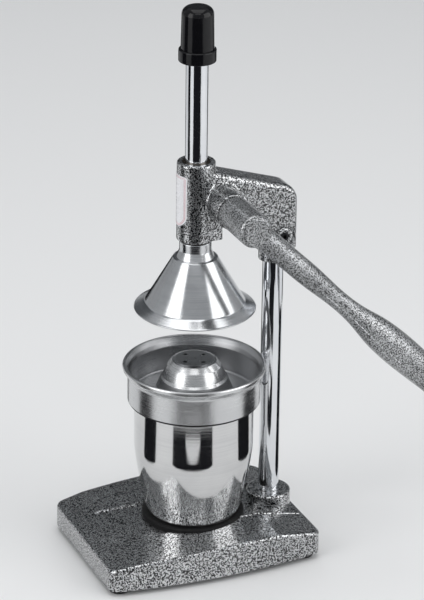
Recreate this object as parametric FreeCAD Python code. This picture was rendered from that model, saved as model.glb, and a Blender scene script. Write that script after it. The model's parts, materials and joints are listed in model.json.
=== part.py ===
# Hand-lever citrus press: a rack-and-pinion ram in a cast head, carried by a round column
# on a cast base, over a strainer bowl that sits on a juice cup.
# Frame: +Z up, Z = 0 on the table, the ram's axis is X = Y = 0. The user stands at -Y,
# the column is at +Y and the lever turns about an axis parallel to X on the +X side.
import FreeCAD
import Part
import math
import os

from FreeCAD import Vector

# ---------------------------------------------------------------- driving dimensions (mm)
# Fits: radial clearances, and gaps between faces that pass or rest on each other
RUNNING_FIT = 0.05
SEAT_GAP = 0.3
FACE_GAP = 0.5
BORE_CLEARANCE = 0.6
THREAD_SPARE = 2.0

# How far cutting solids run past what they cut, and how far limiting solids stand clear of it
OVERRUN = 1.0
MARGIN = 20.0

# Rubber feet and their screws
FOOT_HEIGHT = 5.0
FOOT_RADIUS = 10.0
FOOT_CHAMFER = 1.2
FOOT_INSET = 12.5
FOOT_SCREW_RADIUS = 2.0
FOOT_SCREW_HEAD_RADIUS = 3.8
FOOT_SCREW_HEAD_HEIGHT = 2.0
FOOT_SCREW_RECESS = 0.5
FOOT_SCREW_GRIP = 10.0
FOOT_POST_RADIUS = 7.5
DRIVER_SLOT_WIDTH = 1.0

# Base casting: bowed long sides, top arched along Y, a sunk channel down the middle
BASE_FRONT_REACH = 109.0
BASE_REAR_OVERHANG = 21.5
BASE_END_HALF_WIDTH = 73.5
BASE_SIDE_BOW = 9.0
BASE_CORNER_RADIUS = 10.0
BASE_EDGE_ROUND = 2.5
BASE_WALL = 4.5
SEAT_HEIGHT = 25.0
FRONT_EDGE_DROP = 4.5
FRONT_SLOPE_LENGTH = 29.0
CREST_RISE = 5.0
CREST_START_Y = 12.0
CREST_LENGTH = 40.0
REAR_EDGE_DROP = 4.0
CHANNEL_HALF_WIDTH = 33.0
CHANNEL_REAR_DEPTH = 1.6
RIB_THICKNESS = 4.0
RIB_LIFT = 3.0
RIB_Y = -30.0

# Column, its boss on the base and the bolt that holds it
BOWL_COLUMN_GAP = 1.5
COLUMN_RADIUS = 9.5
COLUMN_END_CHAMFER = 1.0
BASE_BOSS_RADIUS = 20.5
BASE_BOSS_RISE = 11.5
BASE_BOSS_ROUND = 2.0
COLUMN_FLOOR = 4.5
COLUMN_BOLT_RADIUS = 5.0
COLUMN_BOLT_GRIP = 24.0
BOLT_HEAD_ACROSS_FLATS = 17.0
BOLT_HEAD_HEIGHT = 6.4
BOLT_POCKET_DEPTH = 9.5
BOLT_POCKET_RADIUS = 13.0
WASHER_RADIUS = 11.0
WASHER_THICKNESS = 2.0

# Cup pad and juice cup
PAD_RADIUS = 47.0
PAD_THICKNESS = 5.9
PAD_EDGE_ROUND = 2.0
CUP_HEIGHT = 110.8
CUP_RADIUS = 54.5
CUP_TAPER_TOP = 68.0
CUP_FOOT_RADIUS = 42.6
CUP_TAPER_POWER = 1.35
CUP_BOTTOM_ROUND = 3.0
CUP_WALL = 1.0

# Strainer bowl: wall with a rolled rim, floor, squeezing dome on a conical skirt
BOWL_FLOOR = 2.7
BOWL_DEPTH = 30.4
BOWL_WALL_RADIUS = 60.3
BOWL_WALL = 2.0
BOWL_FLOOR_ROUND = 3.0
BOWL_RIM_RADIUS = 65.0
BOWL_FLARE_HEIGHT = 7.5
BOWL_BEAD_RADIUS = 1.6
BOWL_APRON = 1.4
BOWL_SPIGOT_DEPTH = 6.0
BOWL_SPIGOT_WALL = 2.0
BOWL_SPIGOT_CLEARANCE = 1.8
DOME_HEIGHT = 36.6
DOME_FLAT_RADIUS = 16.0
DOME_SHOULDER_RADIUS = 23.4
DOME_SHOULDER_DROP = 5.2
DOME_BEND_REACH = 0.61
DOME_BEND_FALL = 0.27
DOME_CREASE_RADIUS = 28.8
DOME_CREASE_HEIGHT = 20.3
DOME_LEDGE = 1.7
SKIRT_FOOT_RADIUS = 38.0
DOME_WALL = 2.2
DOME_HOLES = 4
DOME_HOLE_RADIUS = 2.0
DOME_HOLE_CIRCLE = 11.5
DRAIN_HOLES = 5
DRAIN_HOLE_RADIUS = 2.5
DRAIN_CIRCLE = 43.5
BOWL_TURN = -23.0

# Press cone, above the bowl by the mouth's gap
MOUTH_GAP = 57.7
CONE_HEIGHT = 66.0
CONE_SHOULDER_DROP = 22.0
CONE_SHOULDER_RADIUS = 21.5
CONE_SHOULDER_EDGE = 1.2
CONE_SHOULDER_FALL = 2.4
CONE_BREAK_RADIUS = 45.0
CONE_BREAK_RISE = 5.6
CONE_RIM_RADIUS = 54.9
CONE_WALL = 2.6
CONE_RIM_ROLL = 0.9
CONE_ROOF_THICKNESS = 7.0
CONE_ROOF_BEVEL = 2.0
NECK_RADIUS = 14.0
NECK_FOOT_WIDTH = 1.6
NECK_FOOT_LIFT = 2.6
NECK_FOOT_HEIGHT = 6.0
NECK_GAP = 0.6
CONE_SCREW_RADIUS = 4.0
CONE_SCREW_HEAD_RADIUS = 7.5
CONE_SCREW_GRIP = 18.0
CONE_SCREW_SOCKET = 5.0
FLOOR_CLEARANCE = 4.1

# Head casting: guide sleeve, web and column socket
SLEEVE_RADIUS = 17.2
SLEEVE_LENGTH = 73.4
SLEEVE_ROUND = 1.5
SLEEVE_BLOCK_LENGTH = 3.2
WEB_HALF_THICKNESS = 13.5
WEB_REAR_WALL = 8.3
WEB_TOP_DROP = 10.0
WEB_TOP_SLOPE = 0.309
WEB_CORNER_RADIUS = 18.0
WEB_EDGE_ROUND = 5.0
ARCH_GAP = 4.0
SOCKET_DROP = 30.5
SOCKET_DEPTH = 64.5
WEB_FRONT_REACH = 16.0
WEB_BOTTOM_RISE = 12.0
WEB_RAMP_HEIGHT = 12.5
GUIDE_WALL = 2.2
GUIDE_LENGTH = 16.0
GUIDE_FLANGE = 1.2
GUIDE_FLANGE_WIDTH = 1.3
SET_SCREW_RADIUS = 3.8
SET_SCREW_LENGTH = 5.0
SET_SCREW_RISE = 25.0
SET_SCREW_OFFSET = 4.2
SET_SCREW_SOCKET = 4.0
SET_SCREW_SOCKET_DEPTH = 2.5
SET_SCREW_PAD_RADIUS = 8.5
SET_SCREW_PAD_HEIGHT = 1.5

# Label plate on the front of the sleeve
LABEL_THICKNESS = 0.4
LABEL_HALF_ANGLE = 40.0
LABEL_LENGTH = 47.8
LABEL_DROP = 10.7
LABEL_CORNER_RADIUS = 2.5

# Rack, pinion and shaft
GEAR_MODULE = 2.0
PINION_TEETH = 18
PRESSURE_ANGLE = 20.0
BACKLASH = 0.35
TIP_CLEARANCE = 0.5
RACK_PITCH_Y = 1.0
PINION_WIDTH = 8.6
PINION_RISE = 36.9
PINION_TIP_GAP = 0.8
PINION_SIDE_GAP = 1.0
SLOT_RUNOUT = 1.5
SHAFT_RADIUS = 8.0
SHAFT_CHAMFER = 0.8
SHAFT_BUSH_WALL = 2.5
NEAR_BOSS_RADIUS = 16.5
NEAR_BOSS_LENGTH = 28.0
FAR_BOSS_HEIGHT = 4.0
KEY_SIZE = 4.0
RING_THICKNESS = 1.2
RING_WALL = 2.6
RING_GROOVE_DEPTH = 0.8
RING_MOUTH = 4.0
SHAFT_END_LAND = 2.0
SHAFT_WASHER_RADIUS = 13.0
SHAFT_WASHER_THICKNESS = 1.2

# Ram and its cap
RAM_RADIUS = 10.0
RAM_CHAMFER = 0.8
CAP_CLEARANCE = 8.5
CAP_HEIGHT = 49.5
CAP_FLANGE_RADIUS = 16.7
CAP_FLANGE_HEIGHT = 11.5
CAP_FLANGE_ROUND = 1.2
CAP_LOW_RADIUS = 14.8
CAP_TOP_RADIUS = 14.0
CAP_SHOULDER = 7.0
CAP_SOCKET_DEPTH = 28.0

# Lever casting: hub, arm with a waist, swelling grip
HUB_RADIUS = 15.2
HUB_LENGTH = 50.0
HUB_BEVEL = 3.0
LEVER_ANGLE = -43.75
ARM_ROOT_RADIUS = 10.6
ARM_ROOT_LENGTH = 68.0
ARM_WAIST_RADIUS = 8.8
ARM_WAIST_AT = 112.0
GRIP_NECK_RADIUS = 10.6
GRIP_NECK_AT = 146.0
GRIP_RADIUS = 15.5
GRIP_FULL_AT = 186.0
GRIP_END_TAPER = 1.5
GRIP_END_SLOPE = -0.02
GRIP_SWELL_SHARE = 0.66
LEVER_LENGTH = 275.0
LEVER_SCREW_RADIUS = 4.0
LEVER_SCREW_LENGTH = 6.0

# ---------------------------------------------------------------- heights, from the table up
SEAT_TOP = FOOT_HEIGHT + SEAT_HEIGHT
CREST_TOP = SEAT_TOP + CREST_RISE
CUP_BOTTOM = SEAT_TOP + PAD_THICKNESS + SEAT_GAP
CUP_TOP = CUP_BOTTOM + CUP_HEIGHT
BOWL_SEAT = CUP_TOP + SEAT_GAP
BOWL_FLOOR_TOP = BOWL_SEAT + BOWL_FLOOR
BOWL_TOP = BOWL_FLOOR_TOP + BOWL_DEPTH
CONE_RIM = BOWL_TOP + MOUTH_GAP
CONE_ROOF = CONE_RIM + CONE_HEIGHT - CONE_SHOULDER_DROP - CONE_WALL - CONE_SHOULDER_FALL
RAM_BOTTOM = CONE_ROOF + CONE_ROOF_THICKNESS
RAM_TRAVEL = CONE_RIM - BOWL_FLOOR_TOP - FLOOR_CLEARANCE
SLEEVE_BOTTOM = CONE_RIM + CONE_HEIGHT
SLEEVE_TOP = SLEEVE_BOTTOM + SLEEVE_LENGTH
NECK_TOP = SLEEVE_BOTTOM - GUIDE_FLANGE - NECK_GAP
SOCKET_BOTTOM = SLEEVE_BOTTOM - SOCKET_DROP
SET_SCREW_Z = SOCKET_BOTTOM + SET_SCREW_RISE
PINION_Z = SLEEVE_BOTTOM + PINION_RISE
CAP_BOTTOM = SLEEVE_TOP + RAM_TRAVEL + CAP_CLEARANCE
LABEL_TOP = SLEEVE_TOP - LABEL_DROP
LABEL_BOTTOM = LABEL_TOP - LABEL_LENGTH
BASE_BOSS_TOP = SEAT_TOP + BASE_BOSS_RISE
BOLT_POCKET_ROOF = FOOT_HEIGHT + BOLT_POCKET_DEPTH
COLUMN_BOTTOM = BOLT_POCKET_ROOF + COLUMN_FLOOR
COLUMN_TOP = SOCKET_BOTTOM + SOCKET_DEPTH - SEAT_GAP

# ---------------------------------------------------------------- places across the table
COLUMN_Y = BOWL_RIM_RADIUS + BOWL_COLUMN_GAP + COLUMN_RADIUS
BASE_MID_HALF_WIDTH = BASE_END_HALF_WIDTH + BASE_SIDE_BOW
BASE_FRONT_Y = -BASE_FRONT_REACH
BASE_REAR_Y = COLUMN_Y + BASE_REAR_OVERHANG
FRONT_CREASE_Y = BASE_FRONT_Y + FRONT_SLOPE_LENGTH
CREST_END_Y = CREST_START_Y + CREST_LENGTH
FOOT_X = BASE_END_HALF_WIDTH - FOOT_INSET
WEB_REAR_Y = COLUMN_Y + COLUMN_RADIUS + WEB_REAR_WALL
WEB_FRONT_Y = COLUMN_Y - WEB_FRONT_REACH
SET_SCREW_Y = COLUMN_Y + SET_SCREW_OFFSET

# ---------------------------------------------------------------- gear geometry
PITCH_RADIUS = GEAR_MODULE * PINION_TEETH / 2
RACK_PITCH = math.pi * GEAR_MODULE
PINION_Y = RACK_PITCH_Y + PITCH_RADIUS
PINION_TIP_RADIUS = PITCH_RADIUS + GEAR_MODULE
PINION_ROOT_RADIUS = PITCH_RADIUS - GEAR_MODULE - TIP_CLEARANCE
RACK_TIP_Y = RACK_PITCH_Y + GEAR_MODULE
RACK_ROOT_Y = RACK_PITCH_Y - GEAR_MODULE - TIP_CLEARANCE
RACK_SLOT_HALF_WIDTH = PINION_WIDTH / 2 + FACE_GAP
CAVITY_RADIUS = PINION_TIP_RADIUS + PINION_TIP_GAP
CAVITY_HALF_WIDTH = PINION_WIDTH / 2 + PINION_SIDE_GAP

# ---------------------------------------------------------------- places along the shaft
NEAR_BOSS_END = WEB_HALF_THICKNESS + NEAR_BOSS_LENGTH
FAR_BOSS_END = -(WEB_HALF_THICKNESS + FAR_BOSS_HEIGHT)
SHAFT_WASHER_START = FAR_BOSS_END - SEAT_GAP - SHAFT_WASHER_THICKNESS
RING_START = SHAFT_WASHER_START - RING_THICKNESS
SHAFT_START = RING_START - SHAFT_END_LAND
HUB_START = NEAR_BOSS_END + FACE_GAP
HUB_END = HUB_START + HUB_LENGTH
ARM_X = HUB_END - ARM_ROOT_RADIUS
LEVER_SCREW_X = (HUB_START + ARM_X - ARM_ROOT_RADIUS) / 2


# ---------------------------------------------------------------- shape helpers
def cylinder_z(radius, bottom, top, x=0.0, y=0.0):
    return Part.makeCylinder(radius, top - bottom, Vector(x, y, bottom))


def cylinder_x(radius, start, end, y=PINION_Y, z=PINION_Z):
    return Part.makeCylinder(radius, end - start, Vector(start, y, z), Vector(1, 0, 0))


def box(x0, x1, y0, y1, z0, z1):
    return Part.makeBox(x1 - x0, y1 - y0, z1 - z0, Vector(x0, y0, z0))


def outline_edges(steps, place):
    """Edges round a closed outline. A step is a point, reached by a straight line, or a pair
    (middle, end), reached by an arc; place turns the step's two numbers into a Vector."""
    ends = [step if not isinstance(step[0], tuple) else step[1] for step in steps]
    edges = []
    for k, step in enumerate(steps):
        start, end = place(*ends[k - 1]), place(*ends[k])
        if isinstance(step[0], tuple):
            edges.append(Part.Arc(start, place(*step[0]), end).toShape())
        elif start.distanceToPoint(end) > 1e-6:
            edges.append(Part.makeLine(start, end))
    return edges


def prism_x(steps_yz, x0, x1):
    """A prism along X over a closed outline in Y and Z."""
    edges = outline_edges(steps_yz, lambda y, z: Vector(x0, y, z))
    return Part.Face(Part.Wire(edges)).extrude(Vector(x1 - x0, 0, 0))


def turned(steps_rz, x=0.0, y=0.0):
    """A solid turned about a vertical axis from a closed outline in radius and height."""
    edges = outline_edges(steps_rz, lambda r, z: Vector(x + r, y, z))
    return Part.Face(Part.Wire(edges)).revolve(Vector(x, y, 0), Vector(0, 0, 1), 360)


def edges_where(shape, test):
    """The edges whose two ends and middle all pass the test."""
    chosen = []
    for edge in shape.Edges:
        first, last = edge.ParameterRange
        if all(test(edge.valueAt(t)) for t in (first, (first + last) / 2, last)):
            chosen.append(edge)
    return chosen


def hex_prism(across_flats, length):
    """A six-sided prism that starts at the origin and runs along +Z."""
    radius = across_flats / math.sqrt(3)
    corners = [Vector(radius * math.cos(k * math.pi / 3), radius * math.sin(k * math.pi / 3), 0)
               for k in range(7)]
    return Part.Face(Part.makePolygon(corners)).extrude(Vector(0, 0, length))


def cut_all(shape, tools):
    for tool in tools:
        shape = shape.cut(tool)
    return shape


# ---------------------------------------------------------------- base
def base_plan(inset, bottom, top):
    """The base's outline, drawn in by inset, as a solid between two heights."""
    front = BASE_FRONT_Y + inset
    rear = BASE_REAR_Y - inset
    middle = (front + rear) / 2
    end = BASE_END_HALF_WIDTH - inset
    side = BASE_MID_HALF_WIDTH - inset
    steps = [(end, front), ((side, middle), (end, rear)), (-end, rear), ((-side, middle), (-end, front))]
    wire = Part.Wire(outline_edges(steps, lambda x, y: Vector(x, y, bottom)))
    solid = Part.Face(wire).extrude(Vector(0, 0, top - bottom))
    uprights = edges_where(solid, lambda p: abs(abs(p.x) - end) < 0.01 and abs(abs(p.y - middle)
                                                                          - (rear - middle)) < 0.01)
    return solid.makeFillet(BASE_CORNER_RADIUS - inset, uprights)


def top_line(crest, rear_edge, drop):
    """The base's top line in Y and Z from front to rear, with its middle at height crest."""
    return [
        (BASE_FRONT_Y, SEAT_TOP - FRONT_EDGE_DROP - drop),
        (FRONT_CREASE_Y, SEAT_TOP - drop),
        (CREST_START_Y, crest - drop),
        (CREST_END_Y, crest - drop),
        (BASE_REAR_Y, rear_edge - drop),
    ]


def arch_line():
    return top_line(CREST_TOP, SEAT_TOP - REAR_EDGE_DROP, 0)


def floor_line(drop):
    """The channel's floor: level under the cup, then down to the rear edge."""
    return top_line(SEAT_TOP, SEAT_TOP - REAR_EDGE_DROP - CHANNEL_REAR_DEPTH, drop)


def foot_places():
    rear = BASE_REAR_Y - FOOT_INSET
    front = BASE_FRONT_Y + FOOT_INSET
    return {
        "foot_front_right": (FOOT_X, front),
        "foot_front_left": (-FOOT_X, front),
        "foot_rear_right": (FOOT_X, rear),
        "foot_rear_left": (-FOOT_X, rear),
    }


def make_base_shell():
    """The arched block with its channel, before it is hollowed."""
    high = CREST_TOP + MARGIN
    wide = BASE_MID_HALF_WIDTH + MARGIN
    line = arch_line()
    front, rear = BASE_FRONT_Y - OVERRUN, BASE_REAR_Y + OVERRUN
    under_arch = prism_x([(front, FOOT_HEIGHT), (front, line[0][1])] + line
                         + [(rear, line[-1][1]), (rear, FOOT_HEIGHT)], -wide, wide)
    body = base_plan(0, FOOT_HEIGHT, high).common(under_arch)
    seams = [y for y, z in line[1:-1]]
    lowest = min(z for y, z in line) - OVERRUN
    body = body.makeFillet(BASE_EDGE_ROUND, edges_where(
        body, lambda p: p.z > lowest and not any(abs(p.y - y) < 0.01 and abs(p.x) < BASE_END_HALF_WIDTH
                                                 for y in seams)))
    floor = floor_line(0)
    channel = prism_x(floor[1:4] + [(rear, floor[4][1]), (rear, high), (FRONT_CREASE_Y, high)],
                      -CHANNEL_HALF_WIDTH, CHANNEL_HALF_WIDTH)
    pad_pocket = cylinder_z(PAD_RADIUS + FACE_GAP, SEAT_TOP, high)
    return body.cut(channel.fuse(pad_pocket))


def make_base_hollow():
    """The space under the base, less its screw posts, column post and cross ribs."""
    high = CREST_TOP + MARGIN
    wide = BASE_MID_HALF_WIDTH + MARGIN
    low = FOOT_HEIGHT - OVERRUN
    roof = prism_x([(BASE_FRONT_Y, low)] + floor_line(BASE_WALL) + [(BASE_REAR_Y, low)], -wide, wide)
    hollow = base_plan(BASE_WALL, low, high).common(roof)
    posts = [cylinder_z(FOOT_POST_RADIUS, 0, high, x, y) for x, y in foot_places().values()]
    posts.append(cylinder_z(BASE_BOSS_RADIUS, 0, high, 0, COLUMN_Y))
    half = RIB_THICKNESS / 2
    rib_bottom = FOOT_HEIGHT + RIB_LIFT
    posts.append(box(-half, half, BASE_FRONT_Y, COLUMN_Y, rib_bottom, high))
    posts.append(box(-wide, wide, RIB_Y - half, RIB_Y + half, rib_bottom, high))
    return cut_all(hollow, posts)


def make_base_casting():
    boss = cylinder_z(BASE_BOSS_RADIUS, FOOT_HEIGHT, BASE_BOSS_TOP, 0, COLUMN_Y)
    boss = boss.makeFillet(BASE_BOSS_ROUND, edges_where(boss, lambda p: p.z > BASE_BOSS_TOP - 0.01))
    body = make_base_shell().cut(make_base_hollow()).fuse(boss)
    holes = [
        cylinder_z(COLUMN_RADIUS, COLUMN_BOTTOM, BASE_BOSS_TOP + OVERRUN, 0, COLUMN_Y),
        cylinder_z(COLUMN_BOLT_RADIUS + SEAT_GAP, 0, BASE_BOSS_TOP, 0, COLUMN_Y),
        cylinder_z(BOLT_POCKET_RADIUS, 0, BOLT_POCKET_ROOF, 0, COLUMN_Y),
    ]
    for x, y in foot_places().values():
        holes.append(cylinder_z(FOOT_SCREW_RADIUS, 0, FOOT_HEIGHT + FOOT_SCREW_GRIP + OVERRUN, x, y))
    return cut_all(body, holes).removeSplitter()


def foot_pocket_top():
    return FOOT_SCREW_RECESS + FOOT_SCREW_HEAD_HEIGHT


def make_foot(x, y):
    """A rubber foot, chamfered at the table, with a pocket for its screw's head."""
    foot = turned([(0, 0), (FOOT_RADIUS - FOOT_CHAMFER, 0), (FOOT_RADIUS, FOOT_CHAMFER),
                   (FOOT_RADIUS, FOOT_HEIGHT), (0, FOOT_HEIGHT)], x, y)
    foot = foot.cut(cylinder_z(FOOT_SCREW_HEAD_RADIUS + SEAT_GAP, 0, foot_pocket_top(), x, y))
    return foot.cut(cylinder_z(FOOT_SCREW_RADIUS, 0, FOOT_HEIGHT, x, y))


def make_foot_screw(x, y):
    head = cylinder_z(FOOT_SCREW_HEAD_RADIUS, FOOT_SCREW_RECESS, foot_pocket_top(), x, y)
    half = DRIVER_SLOT_WIDTH / 2
    slot_top = FOOT_SCREW_RECESS + FOOT_SCREW_HEAD_HEIGHT / 2
    reach = FOOT_SCREW_HEAD_RADIUS + OVERRUN
    head = head.cut(box(x - reach, x + reach, y - half, y + half, 0, slot_top))
    shank = cylinder_z(FOOT_SCREW_RADIUS, foot_pocket_top(), FOOT_HEIGHT + FOOT_SCREW_GRIP, x, y)
    return head.fuse(shank)


def make_foot_screws():
    return Part.makeCompound([make_foot_screw(x, y) for x, y in foot_places().values()])


def make_cup_pad():
    """The rubber pad that the cup stands on, with a rounded upper edge."""
    pad = cylinder_z(PAD_RADIUS, SEAT_TOP, SEAT_TOP + PAD_THICKNESS)
    return pad.makeFillet(PAD_EDGE_ROUND, edges_where(pad, lambda p: p.z > SEAT_TOP + 0.01))


# ---------------------------------------------------------------- column
def make_column():
    column = cylinder_z(COLUMN_RADIUS, COLUMN_BOTTOM, COLUMN_TOP, 0, COLUMN_Y)
    ends = edges_where(column, lambda p: p.z > COLUMN_TOP - 0.01 or p.z < COLUMN_BOTTOM + 0.01)
    column = column.makeChamfer(COLUMN_END_CHAMFER, ends)
    thread_top = COLUMN_BOTTOM + COLUMN_BOLT_GRIP + THREAD_SPARE
    return column.cut(cylinder_z(COLUMN_BOLT_RADIUS, COLUMN_BOTTOM - OVERRUN, thread_top, 0, COLUMN_Y))


def make_column_washer():
    washer = cylinder_z(WASHER_RADIUS, BOLT_POCKET_ROOF - WASHER_THICKNESS, BOLT_POCKET_ROOF, 0, COLUMN_Y)
    hole = cylinder_z(COLUMN_BOLT_RADIUS + SEAT_GAP, 0, BOLT_POCKET_ROOF + OVERRUN, 0, COLUMN_Y)
    return washer.cut(hole)


def make_column_bolt():
    under_head = BOLT_POCKET_ROOF - WASHER_THICKNESS
    head = hex_prism(BOLT_HEAD_ACROSS_FLATS, BOLT_HEAD_HEIGHT)
    head.translate(Vector(0, COLUMN_Y, under_head - BOLT_HEAD_HEIGHT))
    shank = cylinder_z(COLUMN_BOLT_RADIUS, under_head, COLUMN_BOTTOM + COLUMN_BOLT_GRIP, 0, COLUMN_Y)
    return head.fuse(shank)


# ---------------------------------------------------------------- head
def web_top(y):
    """Height of the web's sloping top edge."""
    return SLEEVE_TOP - WEB_TOP_DROP - WEB_TOP_SLOPE * (y - SLEEVE_RADIUS)


def make_web():
    """The web and the block under the sleeve in one plate with a rounded rim."""
    block_end = SLEEVE_RADIUS + SLEEVE_BLOCK_LENGTH
    arch_rear = PINION_Y + CAVITY_RADIUS + ARCH_GAP
    arch_top = PINION_Z - CAVITY_RADIUS
    bottom = SOCKET_BOTTOM + WEB_BOTTOM_RISE
    slope = math.atan(WEB_TOP_SLOPE)
    centre_y = WEB_REAR_Y - WEB_CORNER_RADIUS
    centre_z = web_top(centre_y) - WEB_CORNER_RADIUS / math.cos(slope)

    def on_corner(angle):
        radius = WEB_CORNER_RADIUS
        return (centre_y + radius * math.cos(angle), centre_z + radius * math.sin(angle))

    steps = [
        (0, SLEEVE_BOTTOM),
        (block_end, SLEEVE_BOTTOM),
        (block_end, arch_top - ARCH_GAP),
        (block_end + ARCH_GAP, arch_top),
        (arch_rear - ARCH_GAP, arch_top),
        (arch_rear, arch_top - ARCH_GAP),
        (arch_rear, bottom + WEB_RAMP_HEIGHT),
        (WEB_FRONT_Y, bottom),
        (WEB_REAR_Y, bottom),
        on_corner(0),
        (on_corner((math.pi / 2 - slope) / 2), on_corner(math.pi / 2 - slope)),
        (0, web_top(0)),
    ]
    web = prism_x(steps, -WEB_HALF_THICKNESS, WEB_HALF_THICKNESS)
    rim = edges_where(web, lambda p: abs(abs(p.x) - WEB_HALF_THICKNESS) < 0.01 and p.y > 0.01
                      and (p.y > WEB_REAR_Y - 0.01 or p.z > min(centre_z, web_top(p.y)) - 0.01))
    top = edges_where(web, lambda p: abs(abs(p.x) - WEB_HALF_THICKNESS) < 0.01
                      and abs(p.z - web_top(p.y)) < 0.01)
    return web.makeFillet(WEB_EDGE_ROUND, rim + [e for e in top if not any(e.isSame(r) for r in rim)])


def make_head_solid():
    sleeve = cylinder_z(SLEEVE_RADIUS, SLEEVE_BOTTOM, SLEEVE_TOP)
    sleeve = sleeve.makeFillet(SLEEVE_ROUND, edges_where(sleeve, lambda p: p.z > SLEEVE_TOP - 0.01))
    near_boss = cylinder_x(NEAR_BOSS_RADIUS, 0, NEAR_BOSS_END)
    far_boss = cylinder_x(NEAR_BOSS_RADIUS, FAR_BOSS_END, 0)
    pad_end = WEB_HALF_THICKNESS + SET_SCREW_PAD_HEIGHT
    pad = cylinder_x(SET_SCREW_PAD_RADIUS, 0, pad_end, SET_SCREW_Y, SET_SCREW_Z)
    socket = cylinder_z(WEB_HALF_THICKNESS, SOCKET_BOTTOM, SET_SCREW_Z, 0, COLUMN_Y)
    return make_web().multiFuse([sleeve, near_boss, far_boss, pad, socket])


def make_head_casting():
    guide_radius = RAM_RADIUS + RUNNING_FIT + GUIDE_WALL
    bush_radius = SHAFT_RADIUS + RUNNING_FIT + SHAFT_BUSH_WALL
    half = CAVITY_HALF_WIDTH
    holes = [
        cylinder_z(RAM_RADIUS + BORE_CLEARANCE, SLEEVE_BOTTOM - OVERRUN, SLEEVE_TOP + OVERRUN),
        cylinder_z(guide_radius, SLEEVE_TOP - GUIDE_LENGTH, SLEEVE_TOP + OVERRUN),
        cylinder_z(guide_radius, SLEEVE_BOTTOM - OVERRUN, SLEEVE_BOTTOM + GUIDE_LENGTH),
        cylinder_x(CAVITY_RADIUS, -half, half),
        box(-half, half, 0, PINION_Y + CAVITY_RADIUS, SOCKET_BOTTOM - OVERRUN, PINION_Z),
        cylinder_x(bush_radius, FAR_BOSS_END - OVERRUN, NEAR_BOSS_END + OVERRUN),
        cylinder_z(COLUMN_RADIUS, SOCKET_BOTTOM - OVERRUN, SOCKET_BOTTOM + SOCKET_DEPTH, 0, COLUMN_Y),
        cylinder_x(SET_SCREW_RADIUS, 0, NEAR_BOSS_END, SET_SCREW_Y, SET_SCREW_Z),
    ]
    return cut_all(make_head_solid(), holes).removeSplitter()


def make_column_set_screw():
    """A socket set screw whose tip stops just short of the column's side."""
    chord = math.sqrt(COLUMN_RADIUS ** 2 - (SET_SCREW_OFFSET - SET_SCREW_RADIUS) ** 2)
    tip = chord + SEAT_GAP
    end = tip + SET_SCREW_LENGTH
    screw = cylinder_x(SET_SCREW_RADIUS, tip, end, SET_SCREW_Y, SET_SCREW_Z)
    socket = hex_prism(SET_SCREW_SOCKET, SET_SCREW_SOCKET_DEPTH)
    socket.rotate(Vector(0, 0, 0), Vector(0, 1, 0), 90)
    socket.translate(Vector(end - SET_SCREW_SOCKET_DEPTH, SET_SCREW_Y, SET_SCREW_Z))
    return screw.cut(socket)


def make_ram_guide(bottom, top):
    bore = RAM_RADIUS + RUNNING_FIT
    return cylinder_z(bore + GUIDE_WALL, bottom, top).cut(cylinder_z(bore, bottom - OVERRUN, top + OVERRUN))


def make_upper_guide():
    return make_ram_guide(SLEEVE_TOP - GUIDE_LENGTH, SLEEVE_TOP)


def make_lower_guide():
    """The lower guide's flange lies against the sleeve's end and stops the cone's neck."""
    guide = make_ram_guide(SLEEVE_BOTTOM, SLEEVE_BOTTOM + GUIDE_LENGTH)
    bore = RAM_RADIUS + RUNNING_FIT
    outer = bore + GUIDE_WALL + GUIDE_FLANGE_WIDTH
    flange = cylinder_z(outer, SLEEVE_BOTTOM - GUIDE_FLANGE, SLEEVE_BOTTOM)
    flange = flange.cut(cylinder_z(bore, SLEEVE_BOTTOM - GUIDE_FLANGE - OVERRUN, SLEEVE_BOTTOM + OVERRUN))
    return guide.fuse(flange).removeSplitter()


def make_shaft_bush(start, end):
    bore = cylinder_x(SHAFT_RADIUS + RUNNING_FIT, start - OVERRUN, end + OVERRUN)
    return cylinder_x(SHAFT_RADIUS + RUNNING_FIT + SHAFT_BUSH_WALL, start, end).cut(bore)


def make_label_plate():
    """A bare, thin curved plate: square-cut at its top, rounded at its bottom."""
    shell = cylinder_z(SLEEVE_RADIUS + LABEL_THICKNESS, LABEL_BOTTOM, LABEL_TOP)
    shell = shell.cut(cylinder_z(SLEEVE_RADIUS, LABEL_BOTTOM - OVERRUN, LABEL_TOP + OVERRUN))
    half_width = SLEEVE_RADIUS * math.sin(math.radians(LABEL_HALF_ANGLE))
    centre = LABEL_BOTTOM + half_width
    reach = SLEEVE_RADIUS + MARGIN
    tongue = Part.makeCylinder(half_width, reach, Vector(0, -reach, centre), Vector(0, 1, 0))
    outline = box(-half_width, half_width, -reach, 0, centre, LABEL_TOP).fuse(tongue)
    corners = edges_where(outline, lambda p: p.z > LABEL_TOP - 0.01 and abs(p.x) > half_width - 0.01)
    return shell.common(outline.makeFillet(LABEL_CORNER_RADIUS, corners))


# ---------------------------------------------------------------- pinion and shaft
def involute(angle):
    return math.tan(angle) - angle


def pinion_outline():
    """Corners (y, z) of the toothed wheel, with the middle of a tooth pointing to -Y."""
    pressure = math.radians(PRESSURE_ANGLE)
    base_radius = PITCH_RADIUS * math.cos(pressure)
    half_at_base = (RACK_PITCH - BACKLASH) / (4 * PITCH_RADIUS) + involute(pressure)
    flank_steps = 5
    flank = [(PINION_ROOT_RADIUS, half_at_base)]
    for step in range(flank_steps + 1):
        radius = base_radius + (PINION_TIP_RADIUS - base_radius) * step / flank_steps
        flank.append((radius, half_at_base - involute(math.acos(base_radius / radius))))
    points = []
    for tooth in range(PINION_TEETH):
        centre = math.pi + 2 * math.pi * tooth / PINION_TEETH
        rising = [(radius, centre - half) for radius, half in flank]
        falling = [(radius, centre + half) for radius, half in reversed(flank)]
        points += [(PINION_Y + r * math.cos(a), PINION_Z + r * math.sin(a)) for r, a in rising + falling]
    return points


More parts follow.
